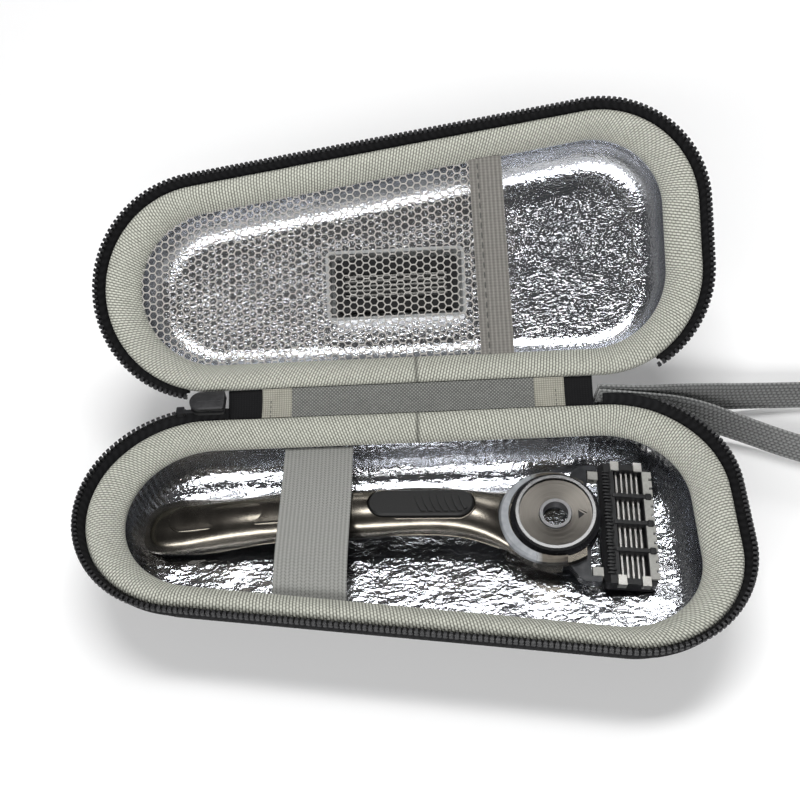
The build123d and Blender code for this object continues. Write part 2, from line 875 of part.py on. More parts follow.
# Thumb button: a slot-shaped pad with curved ridges on its right half
with BuildPart() as thumb_button:
    with BuildSketch(Plane.XY.offset(button_face - button_thickness)):
        with Locations((button_centre, button_aside)):
            SlotOverall(button_length, button_width)
    extrude(amount=button_thickness)
    chamfer(thumb_button.faces().sort_by(Axis.Z)[-1].edges(), button_corner / 2)
    ridge_y = button_aside + button_width / 2
    for i in range(ridge_count):
        ridge_x = button_centre + i * ridge_pitch - ridge_margin
        with BuildSketch(Plane.XY.offset(button_face - ridge_depth / 4)):
            with Locations((ridge_x + ridge_curve_radius, ridge_y)):
                Circle(ridge_curve_radius)
                Circle(ridge_curve_radius - ridge_width, mode=Mode.SUBTRACT)
            with Locations((button_centre, button_aside)):
                SlotOverall(button_length - ridge_margin, button_width - ridge_margin, mode=Mode.INTERSECT)
        extrude(amount=ridge_depth)
save(seated(thumb_button.part), "thumb_button")

# Collar: a pale crescent on the cradle's left edge
with BuildPart() as collar:
    add(drum(collar_radius, cradle_top + collar_gap, collar_top, collar_centre))
    chamfer(collar.edges().sort_by(Axis.Z)[-1], (collar_top - cradle_top) / 3)
    add(drum(clear_radius + 3 * head_gap, cradle_top, 0), mode=Mode.SUBTRACT)
    add(slab(collar_right, half_depth, -half_depth, half_depth, cradle_top, 0), mode=Mode.SUBTRACT)
save(seated(headed(collar.part, head_tilt)), "head_collar")


def turned(profile):
    """Solid of revolution about the head's own axis from (radius, height) points."""
    with BuildPart() as body:
        with BuildSketch(Plane.XZ):
            with BuildLine():
                Polyline(*profile, close=True)
            make_face()
        revolve(axis=Axis.Z)
    return body.part


# Ring: it leans with the disc that it holds, on a level underside
ring_floor = disc_bottom - head_gap
with BuildPart() as head_ring:
    add(
        headed(
            turned(
                [
                    (bush_radius + head_gap, 2 * ring_bottom),
                    (ring_radius, 2 * ring_bottom),
                    (ring_radius, ring_waist),
                    (ring_shoulder, ring_waist + 0.4),
                    (ring_shoulder, -0.6),
                    (ring_shoulder - 0.6, 0),
                    (disc_radius + head_gap, 0),
                    (disc_radius + head_gap, ring_floor),
                    (bush_radius + head_gap, ring_floor),
                ]
            ),
            disc_tilt,
        )
    )
    add(
        headed(slab(-half_depth, half_depth, -half_depth, half_depth, 4 * ring_bottom, ring_bottom), head_tilt),
        mode=Mode.SUBTRACT,
    )
save(seated(head_ring.part), "head_ring")

# Disc: dished towards an open hole, with a small triangle let into it
with BuildPart() as disc:
    add(
        turned(
            [
                (disc_hole_radius, disc_bottom),
                (disc_radius, disc_bottom),
                (disc_radius, disc_edge),
                (disc_hole_radius, disc_edge - disc_dish),
            ]
        )
    )
    with BuildSketch(Plane.XY.offset(disc_edge - disc_dish / 2 - marker_depth)):
        with Locations((marker_reach, 0)):
            RegularPolygon(marker_size, 3)
    extrude(amount=half_depth, mode=Mode.SUBTRACT)
save(seated(headed(disc.part, disc_tilt)), "release_disc")

# Bush: an open sleeve in the disc's hole
with BuildPart() as bush:
    add(drum(bush_radius, *bush_ends))
    add(drum(bush_bore, 2 * cradle_bottom, half_depth), mode=Mode.SUBTRACT)
save(seated(headed(bush.part, disc_tilt)), "disc_bush")

# Yoke: plate with two arms, and a pin from each arm's end inwards
arm_inner_face = arm_outer - arm_wall
with BuildPart() as yoke:
    add(drum(yoke_radius, yoke_plate_bottom, yoke_plate_top))
    for side in (-1, 1):
        with BuildSketch(Plane.XY.offset(arm_bottom)):
            with BuildLine():
                Polyline(
                    (arm_root, side * (yoke_radius - 2.5)),
                    (arm_root, side * (yoke_radius + 1.2)),
                    (arm_root + 2.6, side * (arm_outer - 1.2)),
                    (arm_root + 4.4, side * arm_outer),
                    (pivot_reach + arm_reach, side * arm_outer),
                    (pivot_reach + arm_reach, side * arm_inner_face),
                    (pivot_reach - pad_back - side_gap, side * arm_inner_face),
                    (pivot_reach - pad_back - side_gap, side * (yoke_radius - 4.5)),
                    close=True,
                )
            make_face()
        extrude(amount=yoke_plate_top - arm_bottom)
    add(drum(head_bore, 2 * cradle_bottom, 0), mode=Mode.SUBTRACT)
save(seated(headed(yoke.part, head_tilt)), "pivot_yoke")
pin_ends = arm_inner_face - side_gap - pad_width + 0.4
for side, name in ((-1, "pivot_pin_front"), (1, "pivot_pin_back")):
    with BuildPart() as pin:
        with BuildSketch(Plane.XZ.offset(-side * pin_ends)):
            with Locations((pivot_reach, pivot_height)):
                Circle(pivot_radius)
        extrude(amount=-side * (arm_inner_face - pin_ends - 0.02))
    save(seated(headed(pin.part, head_tilt)), name)

# Blade unit: frame with chamfered edges, a long well for the blades and ribs across it
unit_left = unit_offset
unit_right = unit_offset + unit_width
unit_end = unit_length / 2
well_left = unit_left + unit_hinge_rail
well_right = unit_right - unit_front_rail
well_end = unit_end - unit_end_wall
rib_bottom = unit_top - rib_height
well_bottom = rib_bottom - blade_height - 2 * blade_seat_gap
rail_top = unit_top - comb_thickness - blade_seat_gap
with BuildPart() as frame:
    with BuildSketch(Plane.XZ.offset(-unit_end)):
        with BuildLine():
            Polyline(
                (unit_left, unit_bottom + unit_edge_chamfer / 2),
                (unit_left, unit_top - 1.2 * unit_edge_chamfer),
                (unit_left + 1.5 * unit_edge_chamfer, unit_top),
                (well_right + 0.2, unit_top),
                (well_right + 0.2, rail_top),
                (unit_right, rail_top),
                (unit_right, unit_bottom + unit_edge_chamfer),
                (unit_right - unit_edge_chamfer, unit_bottom),
                (unit_left + unit_edge_chamfer / 2, unit_bottom),
                close=True,
            )
        make_face()
    extrude(amount=unit_length)
    with BuildSketch(Plane.XY.offset(-half_depth)):
        with Locations(((unit_left + unit_right) / 2, 0)):
            RectangleRounded(unit_width, unit_length, unit_corner)
    extrude(amount=2 * half_depth, mode=Mode.INTERSECT)
    add(slab(well_left, well_right, -well_end, well_end, well_bottom, half_depth), mode=Mode.SUBTRACT)
    rib_step = 2 * well_end / (rib_count + 1)
    for i in range(rib_count):
        rib_y = (i - (rib_count - 1) / 2) * rib_step
        add(slab(well_left - 0.1, well_right + 0.1, rib_y - rib_width / 2, rib_y + rib_width / 2, rib_bottom, unit_top))
save(seated(united(frame.part)), "cartridge_frame")

# Blades: strips on edge that run under the ribs
well_middle = (well_left + well_right) / 2
with BuildPart() as blades:
    with BuildSketch(Plane.XY.offset(well_bottom + blade_seat_gap)):
        with Locations((well_middle, 0)):
            with GridLocations(blade_pitch, 0, blade_count, 1):
                Rectangle(blade_thickness, 2 * (well_end - blade_seat_gap))
    extrude(amount=blade_height)
save(seated(united(blades.part)), "cartridge_blades")

# Comb: a pale strip on the far rail, notched along its edge
comb_left = well_right + 0.2 + blade_seat_gap
comb_right = unit_right + comb_overhang
comb_end = unit_end - unit_corner
with BuildPart() as comb:
    with BuildSketch(Plane.XY.offset(rail_top + blade_seat_gap)):
        with Locations(((comb_left + comb_right) / 2, 0)):
            Rectangle(comb_right - comb_left, 2 * comb_end)
        with Locations((comb_right, 0)):
            with GridLocations(0, comb_notch_pitch, 1, int(2 * comb_end / comb_notch_pitch)):
                Rectangle(2 * comb_notch, comb_notch, mode=Mode.SUBTRACT)
    extrude(amount=comb_thickness)
save(seated(united(comb.part)), "cartridge_comb")

# Clips: four metal straps folded over the unit's ends
with BuildPart() as clips:
    for side in (-1, 1):
        for spot in clip_spots:
            left = unit_left + spot - clip_width / 2
            right = left + clip_width
            outer = unit_end + side_gap / 2 + clip_thickness
            ends = sorted((side * outer, side * (unit_end - clip_reach)))
            top = unit_top + side_gap / 2
            add(slab(left, right, *ends, top, top + clip_thickness))
            ends = sorted((side * outer, side * (outer - clip_thickness)))
            add(slab(left, right, *ends, top - clip_drop, top + clip_thickness))
save(seated(united(clips.part)), "cartridge_clips")

# Pivot pads: two pale blocks on the near rail, bored for the yoke's pins
with BuildPart() as pads:
    for side in (-1, 1):
        ends = sorted((side * (arm_inner_face - side_gap), side * (arm_inner_face - side_gap - pad_width)))
        add(slab(-pad_back, unit_left - side_gap / 4, *ends, -pad_back, pad_back))
    with BuildSketch(Plane.XZ):
        Circle(pivot_radius + pivot_clearance)
    extrude(amount=unit_length, both=True, mode=Mode.SUBTRACT)
save(seated(united(pads.part)), "cartridge_pads")
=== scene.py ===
"""Razor travel case, open on a table: the finish of its cloth, foil, zip, net, strap and razor.

Sizes are in millimetres in the case's own frame until a mesh is made, which is in metres.
+X runs along the hinge, +Y from the base towards the hinge, +Z up from the table.
"""

import math
from functools import partialmethod

import bmesh
import bpy
import numpy as np
from mathutils import Matrix


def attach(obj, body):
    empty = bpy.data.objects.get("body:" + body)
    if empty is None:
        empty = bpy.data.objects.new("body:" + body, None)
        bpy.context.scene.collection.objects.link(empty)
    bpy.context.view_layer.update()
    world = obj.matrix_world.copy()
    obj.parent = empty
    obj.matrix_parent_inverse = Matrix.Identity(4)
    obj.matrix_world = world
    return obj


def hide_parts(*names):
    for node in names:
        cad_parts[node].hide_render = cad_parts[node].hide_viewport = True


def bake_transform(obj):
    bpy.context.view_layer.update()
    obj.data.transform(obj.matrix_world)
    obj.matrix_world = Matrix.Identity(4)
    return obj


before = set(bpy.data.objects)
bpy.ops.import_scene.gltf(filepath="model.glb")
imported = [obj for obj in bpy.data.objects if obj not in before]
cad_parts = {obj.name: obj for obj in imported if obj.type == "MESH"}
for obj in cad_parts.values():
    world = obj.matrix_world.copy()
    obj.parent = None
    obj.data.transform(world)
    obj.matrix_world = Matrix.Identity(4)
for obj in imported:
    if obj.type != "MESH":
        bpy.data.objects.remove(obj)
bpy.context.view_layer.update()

# ---- View -----------------------------------------------------------------------------------
# The camera stands in front of the case and above it, at the photograph's viewing angle. Its
# place is in metres, and its right side leans down by 4 degrees.


def stand(holder, right, up, back, place):
    """Puts an object into the scene at a place, its own X, Y and Z along right, up and back."""
    bpy.context.scene.collection.objects.link(holder)
    holder.matrix_world = Matrix([[right[i], up[i], back[i], place[i]] for i in range(3)] + [[0, 0, 0, 1]])


eye_data = bpy.data.cameras.new("view")
eye_data.sensor_width = 36.0
eye_data.lens = 54.0
eye = bpy.data.objects.new("view", eye_data)
eye_right = (0.99729, 0.00700, -0.07321)
eye_up = (0.04188, 0.76427, 0.64353)
eye_back = (0.06046, -0.64485, 0.76191)
stand(eye, eye_right, eye_up, eye_back, (0.0206, -0.1885, 0.3005))
bpy.context.scene.camera = eye

# ---- Wrist strap ----------------------------------------------------------------------------
# Grey webbing, 12 mm wide, sewn into the right end of the hinge. It stands on its edge, comes
# down behind the base to the table and runs out in a narrow loop before it goes back.
MM = 0.001
TURN = 2 * math.pi
UP = np.array([0.0, 0.0, 1.0])


def surface(name, points, uv=None, around=False, across=False, inward=False, weld=False, solid=False):
    """Mesh over a grid of points in mm: cell (i, j) is the quad from point (i, j) to (i+1, j+1), and a
    direction that closes runs on from its last row to its first. The uv grid has one row more there.
    A solid turns its faces outwards: the volume summed over them, a . (b x c), is then positive."""
    rows, columns = points.shape[:2]
    i = np.arange(rows if around else rows - 1)[:, None]
    j = np.arange(columns if across else columns - 1)[None, :]

    def cells(wide, i_next, j_next):
        """Index of each cell's four corners, in a grid that is wide points across."""
        corners = [i * wide + j, i_next * wide + j, i_next * wide + j_next, i * wide + j_next]
        return np.stack(np.broadcast_arrays(*corners), axis=-1).reshape(-1, 4)

    quads = cells(columns, (i + 1) % rows, (j + 1) % columns)
    if solid:
        spots = points.reshape(-1, 3) - points.reshape(-1, 3).mean(axis=0)
        a, b, c, d = (spots[quads[:, k]] for k in range(4))
        inward = np.einsum("ni,ni->", a, np.cross(b, c) + np.cross(c, d)) < 0
    winding = slice(None, None, -1 if inward else 1)
    quads = quads[:, winding]
    mesh = bpy.data.meshes.new(name)
    mesh.vertices.add(rows * columns)
    mesh.vertices.foreach_set("co", (points.reshape(-1) * MM).astype(np.float32))
    mesh.loops.add(quads.size)
    mesh.loops.foreach_set("vertex_index", quads.reshape(-1).astype(np.int32))
    mesh.polygons.add(len(quads))
    mesh.polygons.foreach_set("loop_start", np.arange(0, quads.size, 4, dtype=np.int32))
    mesh.polygons.foreach_set("use_smooth", np.ones(len(quads), dtype=bool))
    if uv is not None:
        spots = cells(uv.shape[1], i + 1, j + 1)[:, winding].reshape(-1)
        layer = mesh.uv_layers.new(name="cloth")
        layer.data.foreach_set("uv", uv.reshape(-1, 2)[spots].astype(np.float32).reshape(-1))
    mesh.update(calc_edges=True)
    mesh.validate()
    if weld:
        shell = bmesh.new()
        shell.from_mesh(mesh)
        bmesh.ops.remove_doubles(shell, verts=shell.verts, dist=0.005 * MM)
        shell.to_mesh(mesh)
        shell.free()
    piece = bpy.data.objects.new(name, mesh)
    bpy.context.scene.collection.objects.link(piece)
    return piece


class Wire:
    """A socket on which arithmetic adds the Math nodes, so that a pattern reads as a formula."""

    def __init__(self, finish, socket):
        self.finish, self.socket = finish, socket

    def maths(self, operation, *others):
        values = dict(enumerate((self, *others)))
        return self.finish.node("ShaderNodeMath", {"operation": operation}, values)

    def sine(self):
        return self.maths("SINE")

    def wave(self):
        """The sine, brought into the span from 0 to 1."""
        return self.sine() * 0.5 + 0.5

    def within(self, low=0.0, high=1.0):
        return self.maths("MAXIMUM", low).maths("MINIMUM", high)

    def side(self):
        """1 where the value is above 0 and 0 where it is below, with a narrow slope between."""
        return (self * 40.0 + 0.5).within()


for signs, operation in (
    ("add radd", "ADD"), ("sub", "SUBTRACT"), ("mul rmul", "MULTIPLY"), ("truediv", "DIVIDE"),
    ("pow", "POWER"), ("gt", "GREATER_THAN"), ("abs", "ABSOLUTE"),
):
    for sign in signs.split():
        setattr(Wire, f"__{sign}__", partialmethod(Wire.maths, operation))
# A number less a wire is the wire turned about, plus the number.
Wire.__rsub__ = lambda wire, number: wire * -1.0 + number


class Finish:
    """One material, or the world's light, built up node by node."""

    def __init__(self, name, kind="materials"):
        self.holder = getattr(bpy.data, kind).new(name)
        self.holder.use_nodes = True
        self.tree = self.holder.node_tree
        self.tree.nodes.clear()

    def node(self, kind, settings=None, inputs=None, out=0):
        """Adds a node: first its settings, then values or wires on its sockets. Gives the wire of one output."""
        node = self.tree.nodes.new(kind)
        for key, value in (settings or {}).items():
            if key == "stops":
                for k, (place, colour) in enumerate(value):
                    stop = node.color_ramp.elements[k] if k < 2 else node.color_ramp.elements.new(place)
                    stop.position = place
                    stop.color = (*colour, 1.0)
            else:
                setattr(node, key, value)
        for key, value in (inputs or {}).items():
            if isinstance(value, Wire):
                self.tree.links.new(value.socket, node.inputs[key])
            else:
                node.inputs[key].default_value = value
        return Wire(self, node.outputs[out]) if len(node.outputs) else None

    def place(self):
        """Object coordinates in millimetres."""
        spot = self.node("ShaderNodeTexCoord", out=3)
        return self.node("ShaderNodeVectorMath", {"operation": "SCALE"}, {0: spot, "Scale": 1000.0})

    def cloth(self):
        """The piece's own lengthwise and crosswise millimetres, from its UV map."""
        return self.split(self.node("ShaderNodeUVMap", {"uv_map": "cloth"}))[:2]

    def split(self, vector):
        outputs = self.node("ShaderNodeSeparateXYZ", None, {0: vector}).socket.node.outputs
        return [Wire(self, outputs[k]) for k in range(3)]

    def join(self, x, y, z):
        return self.node("ShaderNodeCombineXYZ", None, {0: x, 1: y, 2: z})

    def noise(self, vector, scale, detail=2.0, roughness=0.5):
        values = {"Vector": vector, "Scale": scale, "Detail": detail, "Roughness": roughness}
        return self.node("ShaderNodeTexNoise", None, values)

    def cells(self, vector, scale):
        return self.node("ShaderNodeTexVoronoi", None, {"Vector": vector, "Scale": scale})

    def mix(self, share, first, second):
        """Colour between two colours."""
        first, second = ((*c, 1.0) if isinstance(c, tuple) else c for c in (first, second))
        return self.node("ShaderNodeMix", {"data_type": "RGBA"}, {0: share, 6: first, 7: second}, 2)

    def bump(self, height, depth):
        """Normal of a surface raised by height times depth, in millimetres."""
        return self.node("ShaderNodeBump", None, {"Height": height, "Distance": depth * MM, "Strength": 1.0})

    def shade(self, colour, roughness, metal=0.0, normal=None, **fixed):
        values = {"Base Color": (*colour, 1.0) if isinstance(colour, tuple) else colour}
        values.update({"Roughness": roughness, "Metallic": metal})
        if normal is not None:
            values["Normal"] = normal
        values.update({key.replace("_", " ").title().replace("Ior", "IOR"): value for key, value in fixed.items()})
        shader = self.node("ShaderNodeBsdfPrincipled", None, values)
        self.node("ShaderNodeOutputMaterial", None, {"Surface": shader})
        return self.holder

    def woven(self, share, dark, light, roughness, height, depth, **fixed):
        """Cloth whose colour runs from dark to light by share, and whose threads rise by height times depth."""
        return self.shade(
            self.mix(share.within(), dark, light), roughness, normal=self.bump(height, depth), **fixed
        )


def fit(piece, material, body, slot, *nodes):
    """Gives a finished piece its material and the body it rides on, and hides the nodes it stands for. The slot is
    not used.
    """
    piece.data.materials.clear()
    piece.data.materials.append(material)
    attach(piece, body)
    if nodes:
        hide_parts(*nodes)
    return piece


def smooth_route(name, points):
    """Points read off a smooth line that has the given points, in mm, as its control points."""
    line = bpy.data.curves.new(name, "CURVE")
    line.dimensions = "3D"
    spline = line.splines.new("NURBS")
    spline.points.add(len(points) - 1)
    for knot, spot in zip(spline.points, points):
        knot.co = (*[c * MM for c in spot], 1.0)
    spline.order_u = 3
    spline.use_endpoint_u = True
    spline.resolution_u = 24
    holder = bpy.data.objects.new(name, line)
    bpy.context.scene.collection.objects.link(holder)
    bpy.context.view_layer.update()
    traced = bpy.data.meshes.new_from_object(holder.evaluated_get(bpy.context.evaluated_depsgraph_get()))
    spots = np.array([v.co for v in traced.vertices]) / MM
    bpy.data.objects.remove(holder)
    bpy.data.meshes.remove(traced)
    bpy.data.curves.remove(line)
    return spots


def even(points, step):
    """The same line, with its points at even steps along it."""
    lengths = np.concatenate([[0.0], np.cumsum(np.linalg.norm(np.diff(points, axis=0), axis=1))])
    places = np.linspace(0.0, lengths[-1], int(lengths[-1] / step) + 1)
    return np.stack([np.interp(places, lengths, points[:, k]) for k in range(3)], axis=1), places


def unit(vectors):
    return vectors / np.linalg.norm(vectors, axis=-1, keepdims=True)


def flat_map(u, v):
    """UV grid in mm from the run of each row and the run of each column."""
    return np.stack(np.broadcast_arrays(u, v), axis=-1)


strap_width, strap_thickness, strap_rib = 12.0, 1.4, 1.5
strap_route = [
    (57.0, 43.2), (70.0, 43.4), (86.0, 45.6), (100.0, 43.4), (117.6, 35.0), (140.0, 26.5), (160.0, 27.5),
    (172.0, 38.0), (160.0, 50.5), (140.0, 55.5), (104.0, 56.0), (86.0, 51.0), (70.0, 45.6), (57.0, 45.0),
]
strap_heights = [(57.0, 16.0), (70.0, 13.5), (84.0, 8.0), (95.0, 3.0), (106.0, 0.0), (180.0, 0.0)]
strap_low = np.interp([x for x, _ in strap_route], *zip(*strap_heights))
strap_line = smooth_route(
    "strap_route", [(x, y, low + strap_width / 2) for (x, y), low in zip(strap_route, strap_low)]
)
strap_line, strap_run = even(strap_line, 0.3)
strap_ahead = unit(np.gradient(strap_line, axis=0))
strap_up = unit(UP - strap_ahead[:, 2:] * strap_ahead)
strap_side = np.cross(strap_ahead, strap_up)
# Across the band: flat faces with six lengthwise cords, and a rolled selvedge at each edge.
turn = np.linspace(0.0, TURN, 56, endpoint=False)
reach = np.sign(np.cos(turn)) * np.abs(np.cos(turn)) ** 0.55
lift = np.sign(np.sin(turn)) * np.abs(np.sin(turn)) ** 0.35
band_height = reach * (strap_width / 2 - 0.1)
selvedge = np.exp(-(((np.abs(band_height) - 5.0) / 0.7) ** 2))
band_half = strap_thickness / 2 - 0.12 + 0.14 * selvedge + 0.04 * np.cos(band_height * TURN / 1.6)
rib = 0.05 * np.cos(strap_run * TURN / strap_rib)
strap_grid = (
    strap_line[:, None, :]
    + strap_up[:, None, :] * band_height[None, :, None]
    + strap_side[:, None, :] * (lift * (band_half[None, :] + rib[:, None]))[:, :, None]
)
strap_grid[:, :, 2] = np.maximum(strap_grid[:, :, 2], 0.02)
start, end = (np.broadcast_to(strap_line[k, None, None], strap_grid[:1].shape) for k in (0, -1))
run_closed = np.concatenate([strap_run[:1], strap_run, strap_run[-1:]])
wrist_strap = surface(
    "wrist_strap_webbing", np.concatenate([start, strap_grid, end]),
    flat_map(run_closed[:, None], np.append(band_height, band_height[0])[None, :]),
    across=True, inward=True, weld=True,
)

webbing = Finish("webbing")
along, high = webbing.cloth()
# Rows of knots along the band, each row half a knot further on than the row beside it.
row_wave = (high * (math.pi / 1.35)).sine()
knot_wave = abs(((along / 1.5 + row_wave.side() * 0.5) * math.pi).sine())
weave_height = (abs(row_wave) ** 0.7) * (knot_wave * 0.75 + 0.25)
fluff = webbing.noise(webbing.place(), 1.4, 3.0)
webbing_share = weave_height * 0.75 + fluff * 0.35 + (abs(high) > 4.9) * 0.1 - 0.12
webbing_material = webbing.woven(
    webbing_share, (0.022, 0.023, 0.023), (0.33, 0.337, 0.33), 0.85, weave_height + fluff * 0.2, 0.40,
    sheen_weight=0.2,
)
fit(wrist_strap, webbing_material, "base", "webbing", "wrist_strap")

# ---- Half shells ----------------------------------------------------------------------------
# Two halves of moulded foam under black cloth. The rim is wide at the right and drawn in at the
# left front. A lip of cloth reaches out under the binding as far as the zip's tape, and the wall
# below it turns into the flat bottom in a large round.
rim_length, rim_width = 182.0, 80.5
rim_back = 40.0
# The rim's three arcs: the left end, the right front corner and the right back corner.
corner_radii = np.array([32.0, 29.5, 32.0])
hinge_y, hinge_z = 44.0, 28.0
open_angle = math.radians(143.3)
middle_left, middle_right = -52.0, 50.0


def opened(points):
    """The lid's copy of points drawn in the base: mirrored in the closed case, then turned about the hinge."""
    y = points[..., 1] - hinge_y
    z = hinge_z - points[..., 2]
    c, s = math.cos(open_angle), -math.sin(open_angle)
    return np.stack([points[..., 0], hinge_y + y * c - z * s, hinge_z + y * s + z * c], axis=-1)


def in_half(half, points):
    """Points drawn in the base, as they are or as the lid's copy."""
    return points if half == "base" else opened(points)


def rim(inset, end_inset, step):
    """Grid of (along the rim, level) points in the plane: each level is the rim drawn in by inset, which is
    three arcs joined by their outer tangents. Gives the points, the outward directions and the run in mm."""
    inset, end_inset = np.broadcast_arrays(np.atleast_1d(inset), np.atleast_1d(end_inset))
    half, (left, front, back) = rim_length / 2, corner_radii
    x = np.array([left - half, half - front, half - back])[:, None] + np.array([[1.0], [-1.0], [-1.0]]) * end_inset
    y = np.array([rim_back - left, rim_back - rim_width + front, rim_back - back])[:, None] + 0 * x
    radius = corner_radii[:, None] - inset
    nx, ny, nr = (np.roll(a, -1, axis=0) for a in (x, y, radius))
    span = np.hypot(nx - x, ny - y)
    leave = np.arctan2(ny - y, nx - x) - np.arccos((radius - nr) / span)
    start = np.roll(leave, 1, axis=0)
    start = np.where(start > leave, start - TURN, start)
    spots, outs = [], []
    for k in range(3):
        count = int(np.ceil(corner_radii[k] * (leave[k, 0] - start[k, 0]) / step))
        angle = start[k] + (leave[k] - start[k]) * (np.arange(count)[:, None] / count)
        out = np.stack([np.cos(angle), np.sin(angle)], axis=-1)
        spots.append(np.stack([x[k], y[k]], axis=-1) + out * radius[k][:, None])
        outs.append(out)
        count = int(np.ceil(span[k, 0] / step))
        share = (np.arange(count) / count)[:, None, None]
        out = np.stack([np.cos(leave[k]), np.sin(leave[k])], axis=-1)
        first = np.stack([x[k], y[k]], axis=-1) + out * radius[k][:, None]
        last = np.stack([nx[k], ny[k]], axis=-1) + out * nr[k][:, None]
        spots.append(first + (last - first) * share)
        outs.append(np.broadcast_to(out, (count, *out.shape)))
    spots, outs = np.concatenate(spots), np.concatenate(outs)
    edge = np.concatenate([spots[:, 0], spots[:1, 0]])
    run = np.concatenate([[0.0], np.cumsum(np.linalg.norm(np.diff(edge, axis=0), axis=1))])
    return spots, outs, run


def raised(spots, heights):
    """Plane points with a height for each level."""
    return np.concatenate([spots, np.broadcast_to(np.asarray(heights), spots.shape[:2])[..., None]], axis=-1)


def closed_in(grid, rings):
    """Adds rings that run from the last level to the middle line between the two ends."""
    edge = grid[:, -1]
    middle = edge.copy()
    middle[:, 0] = np.clip(edge[:, 0], middle_left, middle_right)
    middle[:, 1] = 8.0 - (middle[:, 0] - middle_left) * 9.0 / (middle_right - middle_left)
    share = (np.arange(1, rings + 1) / rings)[None, :, None]
    return np.concatenate([grid, edge[:, None] + (middle - edge)[:, None] * share], axis=1)


def both_halves(name, points, uv, material, slot, node, **how):
    """The same piece in the base and, mirrored and opened, in the lid, where its faces turn about."""
    pieces = []
    for half in ("base", "lid"):
        piece = surface(f"{half}_{name}", in_half(half, points), uv, inward=half == "base", **how)
        pieces.append(fit(piece, material, half, slot, f"{half}_{node}"))
    return pieces


front_round, back_round = 20.0, 6.0
bottom_rings = 14
shell_turn = np.linspace(0.0, np.pi / 2, 16)
shell_in = np.concatenate([[0.0, 0.0], 1 - np.cos(shell_turn)])
shell_z = np.concatenate([[22.4, 21.2], front_round * (1 - np.sin(shell_turn))])
shell_inset = np.array([0.1, 0.5] + [2.0] * 16) + shell_in * (front_round + back_round) / 2
shell_spots, _, shell_run = rim(shell_inset, 0.0, 2.0)
shell_spots[..., 1] += shell_in * (front_round - back_round) / 2
shell_grid = closed_in(raised(shell_spots, shell_z), bottom_rings)
shell_fall = np.concatenate([[0.0], np.cumsum(np.hypot(np.diff(shell_inset), np.diff(shell_z)))])
shell_fall = np.concatenate([shell_fall, shell_fall[-1] + np.arange(1, bottom_rings + 1) * 1.6])


def plain_weave(u, v, pitch):
    """Height of a plain weave: on every second square the thread along v lies on top, on the others the one
    along u. A thread is round across, sin(pi x / pitch), and flatter lengthways, that sine to the power 0.4."""
    wave_u, wave_v = ((w * (math.pi / pitch)).sine() for w in (u, v))
    warp = abs(wave_u) * (abs(wave_v) ** 0.4)
    weft = abs(wave_v) * (abs(wave_u) ** 0.4)
    return weft + (warp - weft) * (wave_u * wave_v).side()


black_cloth = Finish("black_cloth")
cloth_spot = black_cloth.place()
cx, cy, cz = black_cloth.split(cloth_spot)
black_height = plain_weave(cx, cy + cz, 0.8)
black_dust = black_cloth.noise(cloth_spot, 0.35, 4.0)
black_material = black_cloth.woven(
    black_height * 0.6 + black_dust * 0.4, (0.0025, 0.0025, 0.003), (0.013, 0.013, 0.014), 0.78,
    black_height + black_dust * 0.3, 0.07, specular_ior_level=0.14,
)
both_halves(
    "shell_cloth", shell_grid, flat_map(shell_run[:, None], shell_fall[None, :]), black_material, "foam_cloth",
    "shell", around=True, weld=True,
)

# ---- Foil lining ----------------------------------------------------------------------------
# Silver foil on thin foam, pressed into each half. It is crinkled all over, in small pebbles on
# the floor and in fine upright creases on the walls, and it glitters along the round at the foot.
foil_floor, foil_wall, foil_round = 5.35, 7.0, 8.2
foil_step = 0.8
wall_rows, floor_rings = 9, 34


def rough(points, size, seed):
    """Smooth noise from -1 to 1: random values on a lattice of the given size, blended by smoothstep."""
    lattice = np.random.default_rng(seed).uniform(-1.0, 1.0, (64, 64, 64))
    spot = points / size
    base = np.floor(spot).astype(int)
    part = spot - base
    part = part * part * (3 - 2 * part)
    total = np.zeros(points.shape[:-1])
    for corner in range(8):
        step = np.array([corner & 1, corner >> 1 & 1, corner >> 2 & 1])
        at = (base + step) % 64
        weight = np.prod(np.where(step, part, 1 - part), axis=-1)
        total += weight * lattice[at[..., 0], at[..., 1], at[..., 2]]
    return total


foil_turn = np.linspace(0.0, np.pi / 2, 15)
foil_z = np.concatenate([np.linspace(21.6, 14.4, wall_rows), foil_floor + foil_round * (1 - np.sin(foil_turn))])
foil_inset = np.concatenate(
    [foil_wall - 0.8 + np.linspace(0.2, 0.8, wall_rows), foil_wall + foil_round * (1 - np.cos(foil_turn))]
)
foil_spots, foil_out, _ = rim(foil_inset, 2.3, foil_step)
foil_grid = closed_in(raised(foil_spots, foil_z), floor_rings)
foil_lean = np.concatenate([np.zeros(wall_rows), foil_turn, np.full(floor_rings, np.pi / 2)])
foil_outward = np.concatenate([foil_out, np.repeat(foil_out[:, -1:], floor_rings, axis=1)], axis=1)
foil_normal = raised(-foil_outward * np.cos(foil_lean)[None, :, None], np.sin(foil_lean)[None, :])
upright = np.cos(foil_lean)[None, :] ** 2
foil_wave = 0.34 * rough(foil_grid, 7.0, 11) + 0.11 * rough(foil_grid * [0.55, 1.0, 1.0], 1.7, 12)
foil_crease = 0.12 * np.sin(np.arange(len(foil_grid))[:, None] * 1.9 + 2.0 * rough(foil_grid, 6.0, 13))
foil_relief = foil_wave * (1 - 0.6 * upright) + foil_crease * upright
foil_relief *= np.minimum(1.0, np.arange(foil_grid.shape[1]) / 3.0)[None, :]


